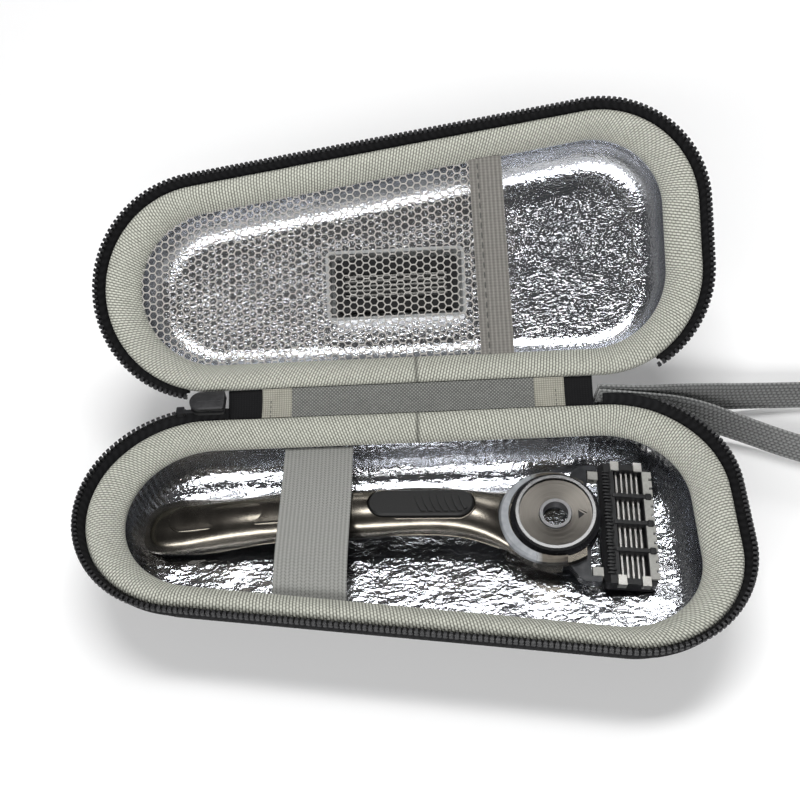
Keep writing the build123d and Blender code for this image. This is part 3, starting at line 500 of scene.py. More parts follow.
def foil_finish(name, fineness, depth):
    """Crinkled silver: pebbles that are wider along X, grit between them and creases over all, whose spacing
    is divided by fineness and whose depth is in mm."""
    foil = Finish(name)
    spot = foil.place()
    fx, fy, fz = foil.split(spot)
    sway = foil.noise(spot, 0.22, 2.0)
    pebbles = foil.cells(foil.join(fx * 0.6 + sway * 3.0, fy + sway * 2.0, fz * 0.8), 0.75 * fineness)
    grit = foil.cells(spot, 1.7 * fineness)
    creases = foil.noise(spot, 1.3 * fineness, 4.0, 0.65)
    tarnish = foil.noise(spot, 0.05, 3.0)
    colour = foil.mix(tarnish, (0.60, 0.62, 0.66), (0.86, 0.87, 0.90))
    height = pebbles * 1.2 + grit * 0.4 + creases * 0.8
    return foil.shade(colour, creases * 0.12 + 0.07, 1.0, foil.bump(height, depth))


# The lid's foil is pressed smoother than the base's, and its crinkles are finer.
for half, name, relief, fineness, depth in (("base", "foil", 1.0, 1.0, 0.13), ("lid", "lid_foil", 0.25, 1.6, 0.086)):
    pressed = foil_grid + foil_normal * (foil_relief * relief - 0.1)[..., None]
    sheet = surface(f"{half}_foil", in_half(half, pressed), around=True, weld=True, inward=half == "lid")
    fit(sheet, foil_finish(name, fineness, depth), half, "foil", f"{half}_lining")

# ---- Padded binding -------------------------------------------------------------------------
# A soft band of light grey cloth round each rim. It slopes inwards from the zip, turns down over
# the foil's edge, and is joined by one butt seam; a turned edge is stitched down along its inside.
binding_profile = np.array(
    [
        # inset, end inset, height
        (0.05, 0.0, 22.55), (-0.05, 0.0, 23.7), (0.25, 0.1, 24.85), (1.4, 0.4, 25.45), (3.2, 0.8, 25.40),
        (5.1, 1.4, 24.55), (6.9, 2.0, 23.05), (7.9, 2.3, 21.6), (8.1, 2.35, 20.45), (7.85, 2.35, 19.75),
        (7.3, 2.3, 19.55), (6.75, 2.3, 20.2), (6.55, 2.25, 21.6), (5.0, 1.9, 22.45), (2.5, 0.9, 22.5),
    ]
)


def round_about(knots, count):
    """Smooth closed line through knots: between two knots each point is their cubic blend, with slopes
    taken from the knots before and after."""
    place = np.linspace(0.0, len(knots), count, endpoint=False)
    k = place.astype(int)
    t = (place - k)[:, None]
    a, b, c, d = (knots[(k + shift) % len(knots)] for shift in (-1, 0, 1, 2))
    return 0.5 * (2 * b + (c - a) * t + (2 * a - 5 * b + 4 * c - d) * t**2 + (3 * b - a - 3 * c + d) * t**3)


binding_ring = round_about(binding_profile, 48)
binding_spots, _, binding_run = rim(binding_ring[:, 0], binding_ring[:, 1], 1.0)
binding_grid = raised(binding_spots, binding_ring[:, 2])
binding_puff = 0.14 * rough(binding_grid, 9.0, 21) * np.clip(binding_ring[:, 2] - 22.0, 0, 1)[None, :]
binding_grid = binding_grid + UP * binding_puff[..., None]
binding_steps = np.diff(np.vstack([binding_ring, binding_ring[:1]])[:, [0, 2]], axis=0)
binding_wrap = np.concatenate([[0.0], np.cumsum(np.linalg.norm(binding_steps, axis=1))])
cord_pitch, bead_pitch = 0.92, 1.05
# The run along the rim is stretched a little, to hold a whole number of pairs of cords.
cord_stretch = round(binding_run[-1] / (2 * cord_pitch)) * 2 * cord_pitch / binding_run[-1]
binding_uv = flat_map(binding_run[:, None] * cord_stretch, binding_wrap[None, :])

oxford = Finish("binding_cloth")
bu, bv = oxford.cloth()
# Thick cords run across the band, slanting a little; each dips under a thin thread once a bead pitch,
# half a pitch later than its neighbour: |sin| across the cord times |sin| along it.
slanted = ((bu + bv * 0.30) * (math.pi / cord_pitch)).sine()
cord_round = abs(slanted) ** 0.7
bead_round = abs(((bv / bead_pitch + slanted.side() * 0.5) * math.pi).sine()) ** 0.6
oxford_height = cord_round * (bead_round * 0.6 + 0.4)
oxford_place = oxford.place()
slub = oxford.noise(oxford_place, 0.6, 3.0)
soil = oxford.noise(oxford_place, 0.06, 3.0)
oxford_share = (oxford_height * 1.25 + slub * 0.35 - 0.38).within()
oxford_colour = oxford.mix(oxford_share, (0.055, 0.055, 0.038), (0.72, 0.73, 0.64))
oxford_colour = oxford.mix((soil * 0.4).within(0.0, 0.25), oxford_colour, (0.36, 0.36, 0.32))
# The butt seam: the band's two ends meet at the hinge side, and the cloth dips into the joint, which is painted dark
# as painted shade.
seam_at = np.argmin(np.hypot(binding_spots[:, 0, 0] - 4.0, binding_spots[:, 0, 1] - rim_back))
seam_gap = abs(bu - float(binding_run[seam_at] * cord_stretch))
seam_dip_and_shade = (1.0 - seam_gap * 1.2).within()
# The seam's dip is painted near black here: painted shade in the joint, over its real groove in the bump.
oxford_material = oxford.shade(
    oxford.mix(seam_dip_and_shade * 0.7, oxford_colour, (0.05, 0.05, 0.04)), 0.82,
    normal=oxford.bump(oxford_height + slub * 0.2 - seam_dip_and_shade * 2.0, 0.22), sheen_weight=0.1,
)
for binding in both_halves(
    "rim_binding_cloth", binding_grid, binding_uv, oxford_material, "binding_cloth", "rim_binding",
    around=True, across=True,
):
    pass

# ---- Zip tapes and teeth --------------------------------------------------------------------
# A black tape is sewn round the outside of each rim and flares out to the zip's moulded teeth.
# The base's tape reaches in under the slider and the strap; the lid's stops short of both.
tape_profile = np.array(
    [
        # inset, height
        (-0.12, 20.9), (-0.95, 21.0), (-1.0, 23.2), (-1.25, 24.8), (-2.75, 26.4),
        (-2.55, 26.75), (-2.05, 26.5), (-0.75, 25.2), (-0.15, 24.0), (-0.1, 22.5),
    ]
)
tape_step = 1.2
tape_ends = {"base": (53.0, 58.5), "lid": (66.0, 76.0)}
tape_ring = round_about(tape_profile, 30)
tape_spots, _, _ = rim(tape_ring[:, 0], 0.0, tape_step)
tape_grid = raised(tape_spots, tape_ring[:, 1])


def open_run(spots, left, right):
    """Index order of the rim's points from the hinge's left end round to its right end: those in the back
    row between left and right, measured from the middle, have no tape or teeth."""
    x, y = spots[:, 0, 0], spots[:, 0, 1]
    keep = (y < 20.0) | (x < -left) | (x > right)
    first = int(np.argmax(keep & ~np.roll(keep, 1)))
    order = (np.arange(len(keep)) + first) % len(keep)
    return order[keep[order]]


def tape_piece(left, right):
    """Tape of one half between its two ends beside the hinge: the profile carried along the rim, drawn
    together at both ends. Gives the points and their run along and across the tape in mm."""
    grid = tape_grid[open_run(tape_spots, left, right)]
    flat = flat_map(np.arange(len(grid))[:, None] * tape_step, np.arange(31)[None, :] * 0.45)
    ends = np.repeat(grid.mean(axis=1, keepdims=True), grid.shape[1], axis=1)
    return np.concatenate([ends[:1], grid, ends[-1:]]), np.concatenate([flat[:1], flat, flat[-1:]])


tape_cloth = Finish("zip_tape")
tu, tv = tape_cloth.cloth()
chevron = (tu * 2.6 + abs((tv * 0.9).sine()) * 3.0).wave()
tape_fuzz = tape_cloth.noise(tape_cloth.place(), 0.9, 3.0)
tape_material = tape_cloth.woven(
    chevron * 0.5 + tape_fuzz * 0.5, (0.002, 0.002, 0.0025), (0.012, 0.012, 0.013), 0.75,
    chevron + tape_fuzz * 0.4, 0.10, specular_ior_level=0.14,
)
for half, ends in tape_ends.items():
    grid, uv = tape_piece(*ends)
    tape = surface(f"{half}_zip_tape_cloth", in_half(half, grid), uv, across=True, weld=True, solid=True)
    fit(tape, tape_material, half, "zip_tape", f"{half}_zip_tape")


def block_faces(rings, count):
    """Side faces of a block whose points are rings of count points, one ring after the other."""
    return [
        (count * k + m, count * k + (m + 1) % count, count * (k + 1) + (m + 1) % count, count * (k + 1) + m)
        for k in range(rings - 1)
        for m in range(count)
    ]


def scattered(name, block, faces, origins, axes, smooth=False):
    """One mesh of many copies of a small block: each copy's points are its origin plus the block's three
    coordinates along that copy's own three axes."""
    spots = origins[:, None, :] + np.einsum("nak,bk->nba", axes, block)
    all_faces = (faces[None] + (np.arange(len(origins)) * len(block))[:, None, None]).reshape(-1, faces.shape[1])
    mesh = bpy.data.meshes.new(name)
    mesh.from_pydata((spots.reshape(-1, 3) * MM).tolist(), [], all_faces.tolist())
    mesh.polygons.foreach_set("use_smooth", np.full(len(mesh.polygons), smooth, dtype=bool))
    mesh.update()
    piece = bpy.data.objects.new(name, mesh)
    bpy.context.scene.collection.objects.link(piece)
    return piece


def speckled(name, scale, detail, dark, light, depth, roughness, gain=0.0, metal=0.0, **fixed):
    """A finish ruled by one noise: it runs the colour from dark to light, adds gain to the roughness and
    raises the surface by depth in mm."""
    finish = Finish(name)
    speck = finish.noise(finish.place(), scale, detail)
    roughness = speck * gain + roughness if gain else roughness
    return finish.shade(finish.mix(speck, dark, light), roughness, metal, finish.bump(speck, depth), **fixed)


tooth_pitch, tooth_step, tooth_height = 1.5, 0.25, 27.05
# A tooth: four cross-sections from its root on the cord to its head, each a square with a narrower top.
tooth_sections = [(-0.75, 0.34, 0.62), (-0.1, 0.40, 0.72), (0.35, 0.58, 0.70), (0.72, 0.36, 0.45)]
tooth_block = np.array(
    [(x, sy * w, sz * h) for x, w, h in tooth_sections for sy, sz in ((-1, -1), (1, -1), (1, 1), (-1, 1))]
)
tooth_faces = np.array(block_faces(4, 4) + [(3, 2, 1, 0), (12, 13, 14, 15)])
tooth_spots, tooth_outs, _ = rim(np.array([-2.5]), 0.0, tooth_step)
tooth_keep = open_run(tooth_spots, *tape_ends["lid"])[:: int(round(tooth_pitch / tooth_step))]
tooth_origin = raised(tooth_spots[tooth_keep], tooth_height)[:, 0]
tooth_out = raised(tooth_outs[tooth_keep], 0.0)[:, 0]
tooth_axes = np.stack([tooth_out, np.cross(UP, tooth_out), np.broadcast_to(UP, tooth_out.shape)], axis=-1)
zip_material = speckled(
    "zip_teeth", 0.8, 4.0, (0.004, 0.004, 0.005), (0.022, 0.022, 0.024), 0.03, 0.28, 0.2, specular_ior_level=0.4
)
for half, faces in (("base", tooth_faces), ("lid", tooth_faces[:, ::-1])):
    origin = in_half(half, tooth_origin)
    axes = np.stack([in_half(half, tooth_origin + tooth_axes[..., k]) - origin for k in range(3)], axis=-1)
    teeth = scattered(f"{half}_zip_teeth_row", tooth_block, faces, origin, axes)
    fit(teeth, zip_material, half, "zip_teeth", f"{half}_zip_teeth")

# ---- Hinge cloth ----------------------------------------------------------------------------
# The halves hang together by cloth alone: black cloth outside, a strip of grey twill inside, and
# a beige end tab folded over each end of the strip and sewn down by one row of dark stitches.
strip_ends = (-34.0, 39.0)
strip_depth, outer_depth = 3.7, 4.7
hinge_points = 26


def under_hinge(depth):
    """Middle line (y, z) of a band that lies depth under the hinge line: a parabola through its two ends at
    the rims and a middle point that sags."""
    reach = 3.75
    turned = np.array([math.cos(open_angle), math.sin(open_angle)])
    first = np.array([hinge_y - reach, hinge_z - depth])
    last = np.array([hinge_y, hinge_z]) + reach * turned * [-1, 1] + depth * turned[::-1]
    middle = (first + last) / 2 + [0.3, -0.7]
    t = np.linspace(0.0, 1.0, hinge_points)[:, None]
    return first * (1 - t) * (1 - 2 * t) + middle * 4 * t * (1 - t) + last * t * (2 * t - 1)


def ribbon(name, middle, side, half, uv):
    """Closed band: its middle surface moved by half along side to either face, its two ends drawn together."""
    half = np.broadcast_to(np.asarray(half, dtype=float), middle.shape[:2])[..., None]
    ring = np.concatenate([middle + side * half, (middle - side * half)[:, ::-1]], axis=1)
    end = np.concatenate([middle, middle[:, ::-1]], axis=1)
    uv = np.concatenate([uv, uv[:, ::-1], uv[:, :1]], axis=1)
    ring, uv = np.concatenate([end[:1], ring, end[-1:]]), np.concatenate([uv[:1], uv, uv[-1:]])
    return surface(name, ring, uv, across=True, weld=True, solid=True)


def hinge_band(name, ends, depth, half, seed, ruffle):
    """Band of cloth along X between two ends, under the hinge line, ruffled by smooth noise."""
    line = under_hinge(depth)
    x = np.linspace(ends[0], ends[1], int((ends[1] - ends[0]) / 0.6) + 1)
    grid = (len(x), hinge_points)
    middle = np.concatenate(
        [np.broadcast_to(x[:, None, None], (*grid, 1)), np.broadcast_to(line[None], (*grid, 2))], axis=-1
    )
    along = np.gradient(line, axis=0)
    side = unit(np.stack([0 * along[:, 0], -along[:, 1], along[:, 0]], axis=-1))[None]
    sway = rough(middle * [1.0, 0.5, 0.5], 4.5, seed) * np.sin(np.linspace(0, np.pi, hinge_points))[None, :]
    middle = middle + side * (ruffle * sway)[..., None]
    uv = flat_map(x[:, None], np.linspace(0.0, 9.5, hinge_points)[None, :])
    return ribbon(name, middle, side, half, uv), line


def across_hinge(piece, material, node):
    """Cloth of the hinge, which reaches from the base at one end to the lid at the other: gives it its material,
    hides its CAD node and keeps its place in its mesh.
    """
    piece.data.materials.append(material)
    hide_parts(node)
    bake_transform(piece)


twill = Finish("twill")
wu, wv = twill.cloth()
wales = ((wu + wv) * (TURN / 1.1)).wave() * ((wu - wv) * (TURN / 1.1)).wave()
twill_fluff = twill.noise(twill.place(), 0.7, 3.0)
twill_material = twill.woven(
    wales * 0.9 + twill_fluff * 0.3, (0.05, 0.051, 0.048), (0.32, 0.325, 0.305), 0.85,
    wales + twill_fluff * 0.3, 0.14, sheen_weight=0.15,
)
tab_cloth = Finish("tab_cloth")
tab_height = plain_weave(*tab_cloth.cloth(), 0.7)
tab_soil = tab_cloth.noise(tab_cloth.place(), 0.3, 3.0)
tab_material = tab_cloth.woven(
    tab_height * 0.7 + tab_soil * 0.3, (0.13, 0.125, 0.10), (0.47, 0.46, 0.39), 0.85,
    tab_height + tab_soil * 0.3, 0.12, sheen_weight=0.15,
)
outer_cloth, hinge_line = hinge_band("hinge_outer_cloth", (-53.6, 56.5), outer_depth, 0.34, 31, 0.12)
across_hinge(outer_cloth, black_material, "hinge_fabric")
twill_strip, hinge_line = hinge_band("hinge_twill_strip", strip_ends, strip_depth, 0.34, 32, 0.45)
across_hinge(twill_strip, twill_material, "hinge_lining_strip")
stitch_material = speckled("dark_thread", 3.0, 2.0, (0.035, 0.035, 0.033), (0.12, 0.12, 0.11), 0.05, 0.6)
pale_stitch = speckled("pale_thread", 3.0, 2.0, (0.24, 0.24, 0.21), (0.50, 0.50, 0.45), 0.05, 0.7)
# A stitch: a low bead, six-sided along its length, whose ends dip into the cloth.
stitch_rings = [(-1.0, 0.25, -0.6), (-0.7, 0.8, 0.2), (0.0, 1.0, 0.8), (0.7, 0.8, 0.2), (1.0, 0.25, -0.6)]
stitch_block = np.array(
    [
        (x, r * math.cos(a), h + r * 0.8 * math.sin(a))
        for x, r, h in stitch_rings
        for a in np.linspace(0, TURN, 6, endpoint=False)
    ]
)
stitch_faces = np.array(block_faces(5, 6) + [(3, 2, 1, 0), (5, 4, 3, 0), (24, 25, 26, 27), (24, 27, 28, 29)])


def stitches(name, line, up, pitch, length, thick, body, material, slot_name):
    """A row of stitches along a line of points in mm: one bead every pitch, its length along the line."""
    line, _ = even(line, pitch)
    ahead = unit(np.gradient(line, axis=0))
    up = unit(np.broadcast_to(up, line.shape))
    side = np.cross(up, ahead)
    axes = np.stack([ahead * length / 2, side * thick / 2, up * thick / 2], axis=-1)
    row = scattered(name, stitch_block, stitch_faces[:, ::-1], line, axes, smooth=True)
    return fit(row, material, body, slot_name)


for tab_name, tab_ends, seam_x in (("left", (-43.0, -34.0), -40.4), ("right", (39.0, 48.0), 45.4)):
    tab, hinge_line = hinge_band(f"hinge_tab_{tab_name}", tab_ends, strip_depth, 0.36, 33, 0.15)
    across_hinge(tab, tab_material, f"hinge_end_tab_{tab_name}")
    seam_line = np.concatenate([np.full((14, 1), seam_x), under_hinge(strip_depth - 0.4)[1:15]], axis=1)
    stitches(f"hinge_tab_{tab_name}_stitches", seam_line, UP, 1.5, 1.0, 0.30, "base", stitch_material, "tab_cloth")

# ---- Binding stitches -----------------------------------------------------------------------
# Pale thread holds the binding's turned edge down against the foil, all round each half: a stitch
# of 1.35 mm every 1.9 mm, which stands out along the direction that the half's opening faces.
seam_height = 21.95
lid_up = unit(opened(UP) - opened(np.zeros(3)))
inner_line = raised(rim(np.array([7.35]), 2.15, 0.6)[0], seam_height)[:, 0]
for half, facing in (("base", UP), ("lid", lid_up)):
    stitches(
        f"{half}_binding_stitches", in_half(half, inner_line), facing, 1.9, 1.35, 0.5, half, pale_stitch,
        "binding_cloth",
    )

# ---- Zip slider and pull tab ----------------------------------------------------------------
# Painted zinc: a plate with a round nose, a rib along it, and a hanging pull tab. The slider's
# body, the tab and the zip's end stop are the CAD's own solids under a finish.
slider_material = speckled(
    "slider_paint", 1.2, 4.0, (0.010, 0.010, 0.011), (0.045, 0.045, 0.048), 0.03, 0.34, 0.2, 0.2
)


def plate(outline, low, high, round_edge, crown=0.0):
    """Closed plate: rings of its outline, drawn in along a quarter circle at the top and bottom edges, then
    shrunk to the middle; crown raises the top by crown (1 - r^2), r being the share of the way out."""
    middle = outline.mean(axis=0)
    reach = np.linalg.norm(outline - middle, axis=1).mean()
    turn = np.linspace(0.0, np.pi / 2, 6)
    flat_share = 1 - round_edge / reach
    share = np.concatenate([np.linspace(0.0, flat_share, 6)[:-1], 1 - round_edge / reach * (1 - np.sin(turn))])
    height = np.concatenate([np.zeros(5), round_edge * (1 - np.cos(turn))])
    share = np.concatenate([share, share[::-1]])
    height = np.concatenate([low + height, (high - height)[::-1]])
    height = height + np.where(np.arange(len(share)) >= 11, crown * (1 - share**2), 0.0)
    rings = middle + (outline - middle)[None] * share[:, None, None]
    return np.concatenate([rings, np.broadcast_to(height[:, None, None], (*rings.shape[:2], 1))], axis=-1)


def round_box(x0, x1, y0, y1, radii, steps=8):
    """Outline of a rectangle with a radius at each corner: (x1, y0), (x1, y1), (x0, y1), (x0, y0) in turn."""
    corners = [(x1, y0, 1, -1), (x1, y1, 1, 1), (x0, y1, -1, 1), (x0, y0, -1, -1)]
    rounds = []
    for k, ((x, y, sx, sy), r) in enumerate(zip(corners, radii)):
        angle = np.linspace(k * np.pi / 2 - np.pi / 2, k * np.pi / 2, steps)
        rounds.append(np.stack([x - sx * r + r * np.cos(angle), y - sy * r + r * np.sin(angle)], axis=-1))
    return np.concatenate(rounds)


def closed(name, grid, material, body, slot_name):
    """A finished piece from a grid that closes across and is drawn together at both ends."""
    return fit(surface(name, grid, across=True, weld=True, solid=True), material, body, slot_name)


def dress(material, *nodes):
    """Gives CAD nodes that stay in view their finish."""
    for node in nodes:
        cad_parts[node].data.materials.clear()
        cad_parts[node].data.materials.append(material)


upper_plate = plate(round_box(-64.6, -54.0, 40.5, 47.5, (0.8, 0.8, 3.3, 3.3)), 28.45, 29.35, 0.35, 0.25)
closed("slider_top_plate", upper_plate, slider_material, "slider", "slider_paint")
upper_rib = plate(round_box(-62.4, -54.6, 43.5, 44.5, (0.3, 0.3, 0.5, 0.5)), 29.3, 29.62, 0.12)
closed("slider_top_rib", upper_rib, slider_material, "slider", "slider_paint")
dress(slider_material, "zip_slider", "zip_pull_tab")
dress(zip_material, "zip_end_stop")

# ---- Elastic band ---------------------------------------------------------------------------
# Pale grey ribbed elastic, 20 mm wide, stretched over the razor's handle and let into both walls.
# It rises in a parabola from wall to wall, and small holes lie in rows between its ribs.
elastic_left, elastic_right = -36.0, -15.6
elastic_ribs = 18
ex = np.linspace(elastic_left, elastic_right, 181)
back_end = 32.6
front_end = -24.0 - (ex + 59.0) / 120.5 * 16.5 + 7.3
ey = back_end + (front_end - back_end)[:, None] * np.linspace(0.0, 1.0, 150)[None, :]
ez = np.polyval(np.polyfit((40.0, 9.8, -28.6), (16.6, 21.5, 16.6), 2), ey)
elastic_middle = np.stack([np.broadcast_to(ex[:, None], ey.shape), ey, ez], axis=-1)
elastic_middle[..., 2] += 0.12 * rough(elastic_middle, 8.0, 41)
elastic_middle[..., 0] += 0.25 * np.sin(ey / 9.0)
rib_pitch = (elastic_right - elastic_left) / elastic_ribs
elastic_half = 0.42 + 0.04 * (0.5 - 0.5 * np.cos((ex - elastic_left) * TURN / rib_pitch))[:, None] + 0 * ey
elastic_uv = flat_map((ex - elastic_left)[:, None], ey)
elastic_band = ribbon("elastic_band", elastic_middle, UP, elastic_half, elastic_uv)
elastic = Finish("elastic")
eu, ev = elastic.cloth()
rib_up = 0.5 - (eu * (TURN / rib_pitch) + math.pi / 2).sine() * 0.5
side_step = ((eu * (math.pi / rib_pitch)).sine() * 30.0).within() * 0.6
hole = (1.0 - rib_up) * (((ev + side_step) * (TURN / 0.95)).wave() ** 1.5)
elastic_fluff = elastic.noise(elastic.place(), 1.1, 3.0)
elastic_material = elastic.woven(
    1.0 - hole * 0.75 - (1.0 - rib_up) * 0.06 + (elastic_fluff - 0.5) * 0.25,
    (0.075, 0.075, 0.071), (0.30, 0.302, 0.284), 0.8,
    rib_up * 0.6 - hole * 0.8 + elastic_fluff * 0.15, 0.10, sheen_weight=0.2,
)
fit(elastic_band, elastic_material, "base", "elastic", "elastic_strap")

# ---- Net pocket -----------------------------------------------------------------------------
# A hexagonal mesh of pale nylon is sewn under the lid's binding on three sides. Its free edge is
# hemmed with taupe elastic, sewn on by dark stitches near the net.
mesh_side = 1.386
mesh_wide, mesh_row = 1.5 * mesh_side, math.sqrt(3.0) * mesh_side
net_height = 21.4


def pocket_edge(y, shift):
    """X of the net's free edge at a given y, moved by shift."""
    return 23.0 + shift + 2.0 * y / rim_width


def inside_rim(spots, inset, end_inset):
    """True for plane points inside the rim drawn in by inset: left of every edge of its outline."""
    line = rim(np.array([inset]), end_inset, 2.0)[0][:, 0]
    step = np.roll(line, -1, axis=0) - line
    away = spots[:, None, :] - line[None]
    return (step[None, :, 0] * away[..., 1] - step[None, :, 1] * away[..., 0]).min(axis=1) > 0


# The mesh is a honeycomb with flat tops: every cell gives its top strand and the two at its right.
columns, rows = np.meshgrid(np.arange(-46, 16), np.arange(-17, 17))
cell = np.stack([columns * mesh_wide, rows * mesh_row + (columns % 2) * mesh_row / 2], axis=-1).reshape(-1, 2)
corners = mesh_side * np.array([[-0.5, 0.866], [0.5, 0.866], [1.0, 0.0], [0.5, -0.866]])
strand_from, strand_to = (np.concatenate([cell + corners[k + shift] for k in range(3)]) for shift in (0, 1))
strand_mid = (strand_from + strand_to) / 2
kept = (strand_mid[:, 0] < pocket_edge(strand_mid[:, 1], 0.6)) & inside_rim(strand_mid, 7.6, 2.3)


def sagging(spots):
    """Plane points at the net's height: it is taut at its edge and sinks a little in the middle."""
    level = np.full(len(spots), net_height)
    hollow = np.clip(1 - ((spots[:, 0] + 22) / 58) ** 2, 0, 1) * np.clip(1 - ((spots[:, 1] - 4) / 34) ** 2, 0, 1)
    height = level - 0.25 * hollow + 0.12 * rough(np.column_stack([spots, level]), 9.0, 51)
    return np.column_stack([spots, height])


strand_a, strand_b = (opened(sagging(ends[kept])) for ends in (strand_from, strand_to))
strand_ahead = strand_b - strand_a
strand_side = unit(np.cross(strand_ahead, lid_up))
# A strand: a five-sided thread, thickest at its ends, which lie inside the next strands' ends.
strand_block = np.array(
    [
        (x, r * 0.30 * math.cos(a), r * 0.22 * math.sin(a))
        for x, r in ((-0.08, 0.95), (0.22, 0.72), (0.78, 0.72), (1.08, 0.95))
        for a in np.linspace(0, TURN, 5, endpoint=False)
    ]
)
strand_faces = np.array(block_faces(4, 5))
strand_axes = np.stack([strand_ahead, strand_side, np.broadcast_to(lid_up, strand_ahead.shape)], axis=-1)
net_mesh = scattered("pocket_net_mesh", strand_block, strand_faces, strand_a, strand_axes, smooth=True)
net_material = speckled("net", 1.0, 3.0, (0.30, 0.285, 0.26), (0.55, 0.53, 0.50), 0.06, 0.38)
fit(net_mesh, net_material, "lid", "net", "pocket_net")

hem_rib_pitch = 1.25
hem_y = np.linspace(-36.0, 34.5, 400)
hem_y = hem_y[inside_rim(np.stack([pocket_edge(hem_y, 5.0), hem_y], axis=-1), 7.4, 2.3)]
hem_y = np.linspace(hem_y[0], hem_y[-1], 110)
hem_across = np.linspace(0.0, 10.0, 60)
hem_x = pocket_edge(hem_y[:, None], hem_across[None, :])
hem_flat = np.stack(np.broadcast_arrays(hem_x, hem_y[:, None], 0 * hem_x), axis=-1)
hem_middle = hem_flat + UP * (net_height + 0.10 * rough(hem_flat, 7.0, 61))[..., None]
hem_half = 0.42 + 0.10 * np.cos(hem_across * TURN / hem_rib_pitch)[None, :] + 0 * hem_x
hem_uv = flat_map(hem_across[None, :], hem_y[:, None])
hem_band = ribbon("pocket_hem_band", opened(hem_middle), lid_up, hem_half, hem_uv)
taupe = Finish("hem_elastic")
hu, hv = taupe.cloth()
hem_rib = (hu * (TURN / hem_rib_pitch) + math.pi / 2).wave()
hem_knit = (hv * (TURN / 0.9)).wave()
hem_fluff = taupe.noise(taupe.place(), 0.9, 3.0)
hem_material = taupe.woven(
    hem_rib * 0.45 + hem_knit * 0.2 + hem_fluff * 0.35, (0.10, 0.096, 0.086), (0.29, 0.277, 0.255), 0.85,
    hem_rib + hem_knit * 0.5 + hem_fluff * 0.3, 0.10, sheen_weight=0.15,
)
fit(hem_band, hem_material, "lid", "hem_elastic", "pocket_hem")
hem_seam = np.column_stack([pocket_edge(hem_y, 2.6), hem_y, np.full(len(hem_y), seam_height)])
stitches("pocket_hem_stitches", opened(hem_seam), lid_up, 3.0, 2.1, 0.42, "lid", stitch_material, "hem_elastic")

# ---- Spare cartridge ------------------------------------------------------------------------
# A spare cartridge lies in a clear plastic tray on the lid's floor, behind the net. Its pieces
# are the CAD's own solids; the tray is frosted by wear and has a faint gloss.
frosted_material = speckled(
    "clear_plastic", 0.8, 3.0, (0.30, 0.31, 0.31), (0.55, 0.56, 0.56), 0.04, 0.18, 0.2, coat_weight=0.3
)
black_plastic = speckled(
    "black_plastic", 1.6, 4.0, (0.003, 0.003, 0.0035), (0.016, 0.016, 0.017), 0.05, 0.28, 0.25,
    specular_ior_level=0.35,
)
steel = speckled("steel", 4.0, 3.0, (0.36, 0.35, 0.33), (0.66, 0.65, 0.62), 0.03, 0.24, 0.2, 1.0)
dress(frosted_material, "spare_tray")
dress(black_plastic, "spare_cartridge")
dress(steel, "spare_blades")

# ---- Razor handle ---------------------------------------------------------------------------
# Dark bronze-plated zinc above, black rubber below with fine slanting ribs, and a rubber thumb
# button let into the top. A raised panel runs along the plated part, and its lower lip is rolled.
bronze = Finish("dark_chrome")
smear = bronze.noise(bronze.place(), 0.16, 4.0, 0.6)
# Hairlines run lengthways: their noise is stretched along X.
bx, by, bz = bronze.split(bronze.place())
hairline = bronze.noise(bronze.join(bx * 0.05, by * 3.0, bz * 3.0), 1.0, 2.0)
bronze_material = bronze.shade(
    bronze.mix(smear, (0.10, 0.091, 0.076), (0.22, 0.202, 0.172)),
    smear * 0.12 + hairline * 0.05 + 0.15, 1.0, bronze.bump(hairline, 0.004),
)
rubber = Finish("rubber")
rx, ry, rz = rubber.split(rubber.place())
slant = ((rx + (rz - ry * 0.4) * 1.1) * (TURN / 1.15)).wave()
rubber_grain = rubber.noise(rubber.place(), 2.2, 3.0)
rubber_material = rubber.woven(
    slant * 0.4 + rubber_grain * 0.6, (0.005, 0.005, 0.005), (0.026, 0.025, 0.024), rubber_grain * 0.15 + 0.40,
    slant + rubber_grain * 0.15, 0.22, specular_ior_level=0.35,
)
thumb_material = speckled(
    "thumb_rubber", 3.0, 3.0, (0.004, 0.004, 0.004), (0.016, 0.016, 0.016), 0.05, 0.42, 0.15,
    specular_ior_level=0.3,
)
dress(bronze_material, "handle_shell")
dress(rubber_material, "handle_grip")
dress(thumb_material, "thumb_button")
skew = math.radians(-2.2)
razor_y = 8.1
head_centre = np.array([42.7, 0.0, 18.8])
handle_sections = np.array(
    [
        # along, beside, half width, low, high
        (-77.0, -0.8, 4.6, 9.0, 12.6), (-75.4, -0.6, 7.0, 7.4, 14.2), (-71.0, 0.0, 8.8, 6.1, 15.4),
        (-62.0, 0.5, 9.0, 5.6, 16.5), (-40.0, 1.7, 8.0, 7.5, 18.4), (-20.0, 1.9, 7.9, 9.5, 20.0),
        (0.0, 2.0, 7.6, 11.0, 21.0), (14.0, 1.8, 7.6, 10.8, 20.9), (22.0, 0.9, 8.2, 10.0, 19.9),
        (29.0, 0.3, 9.8, 9.2, 17.4), (35.0, 0.0, 12.6, 9.2, 14.6),
    ]
)


def seated(points):
    """Razor points drawn along X, turned by the razor's skew and laid in the base."""
    x, y = points[..., 0], points[..., 1]
    c, s = math.cos(skew), math.sin(skew)
    return np.stack([x * c - y * s, x * s + y * c + razor_y, points[..., 2]], axis=-1)


def headed(points, tilt):
    """Head points drawn level about the head's centre, leaned to the front by tilt degrees and seated."""
    t = math.radians(tilt)
    y, z = points[..., 1], points[..., 2]
    leaned = [points[..., 0], y * math.cos(t) - z * math.sin(t), y * math.sin(t) + z * math.cos(t)]
    return seated(np.stack(leaned, axis=-1) + head_centre)


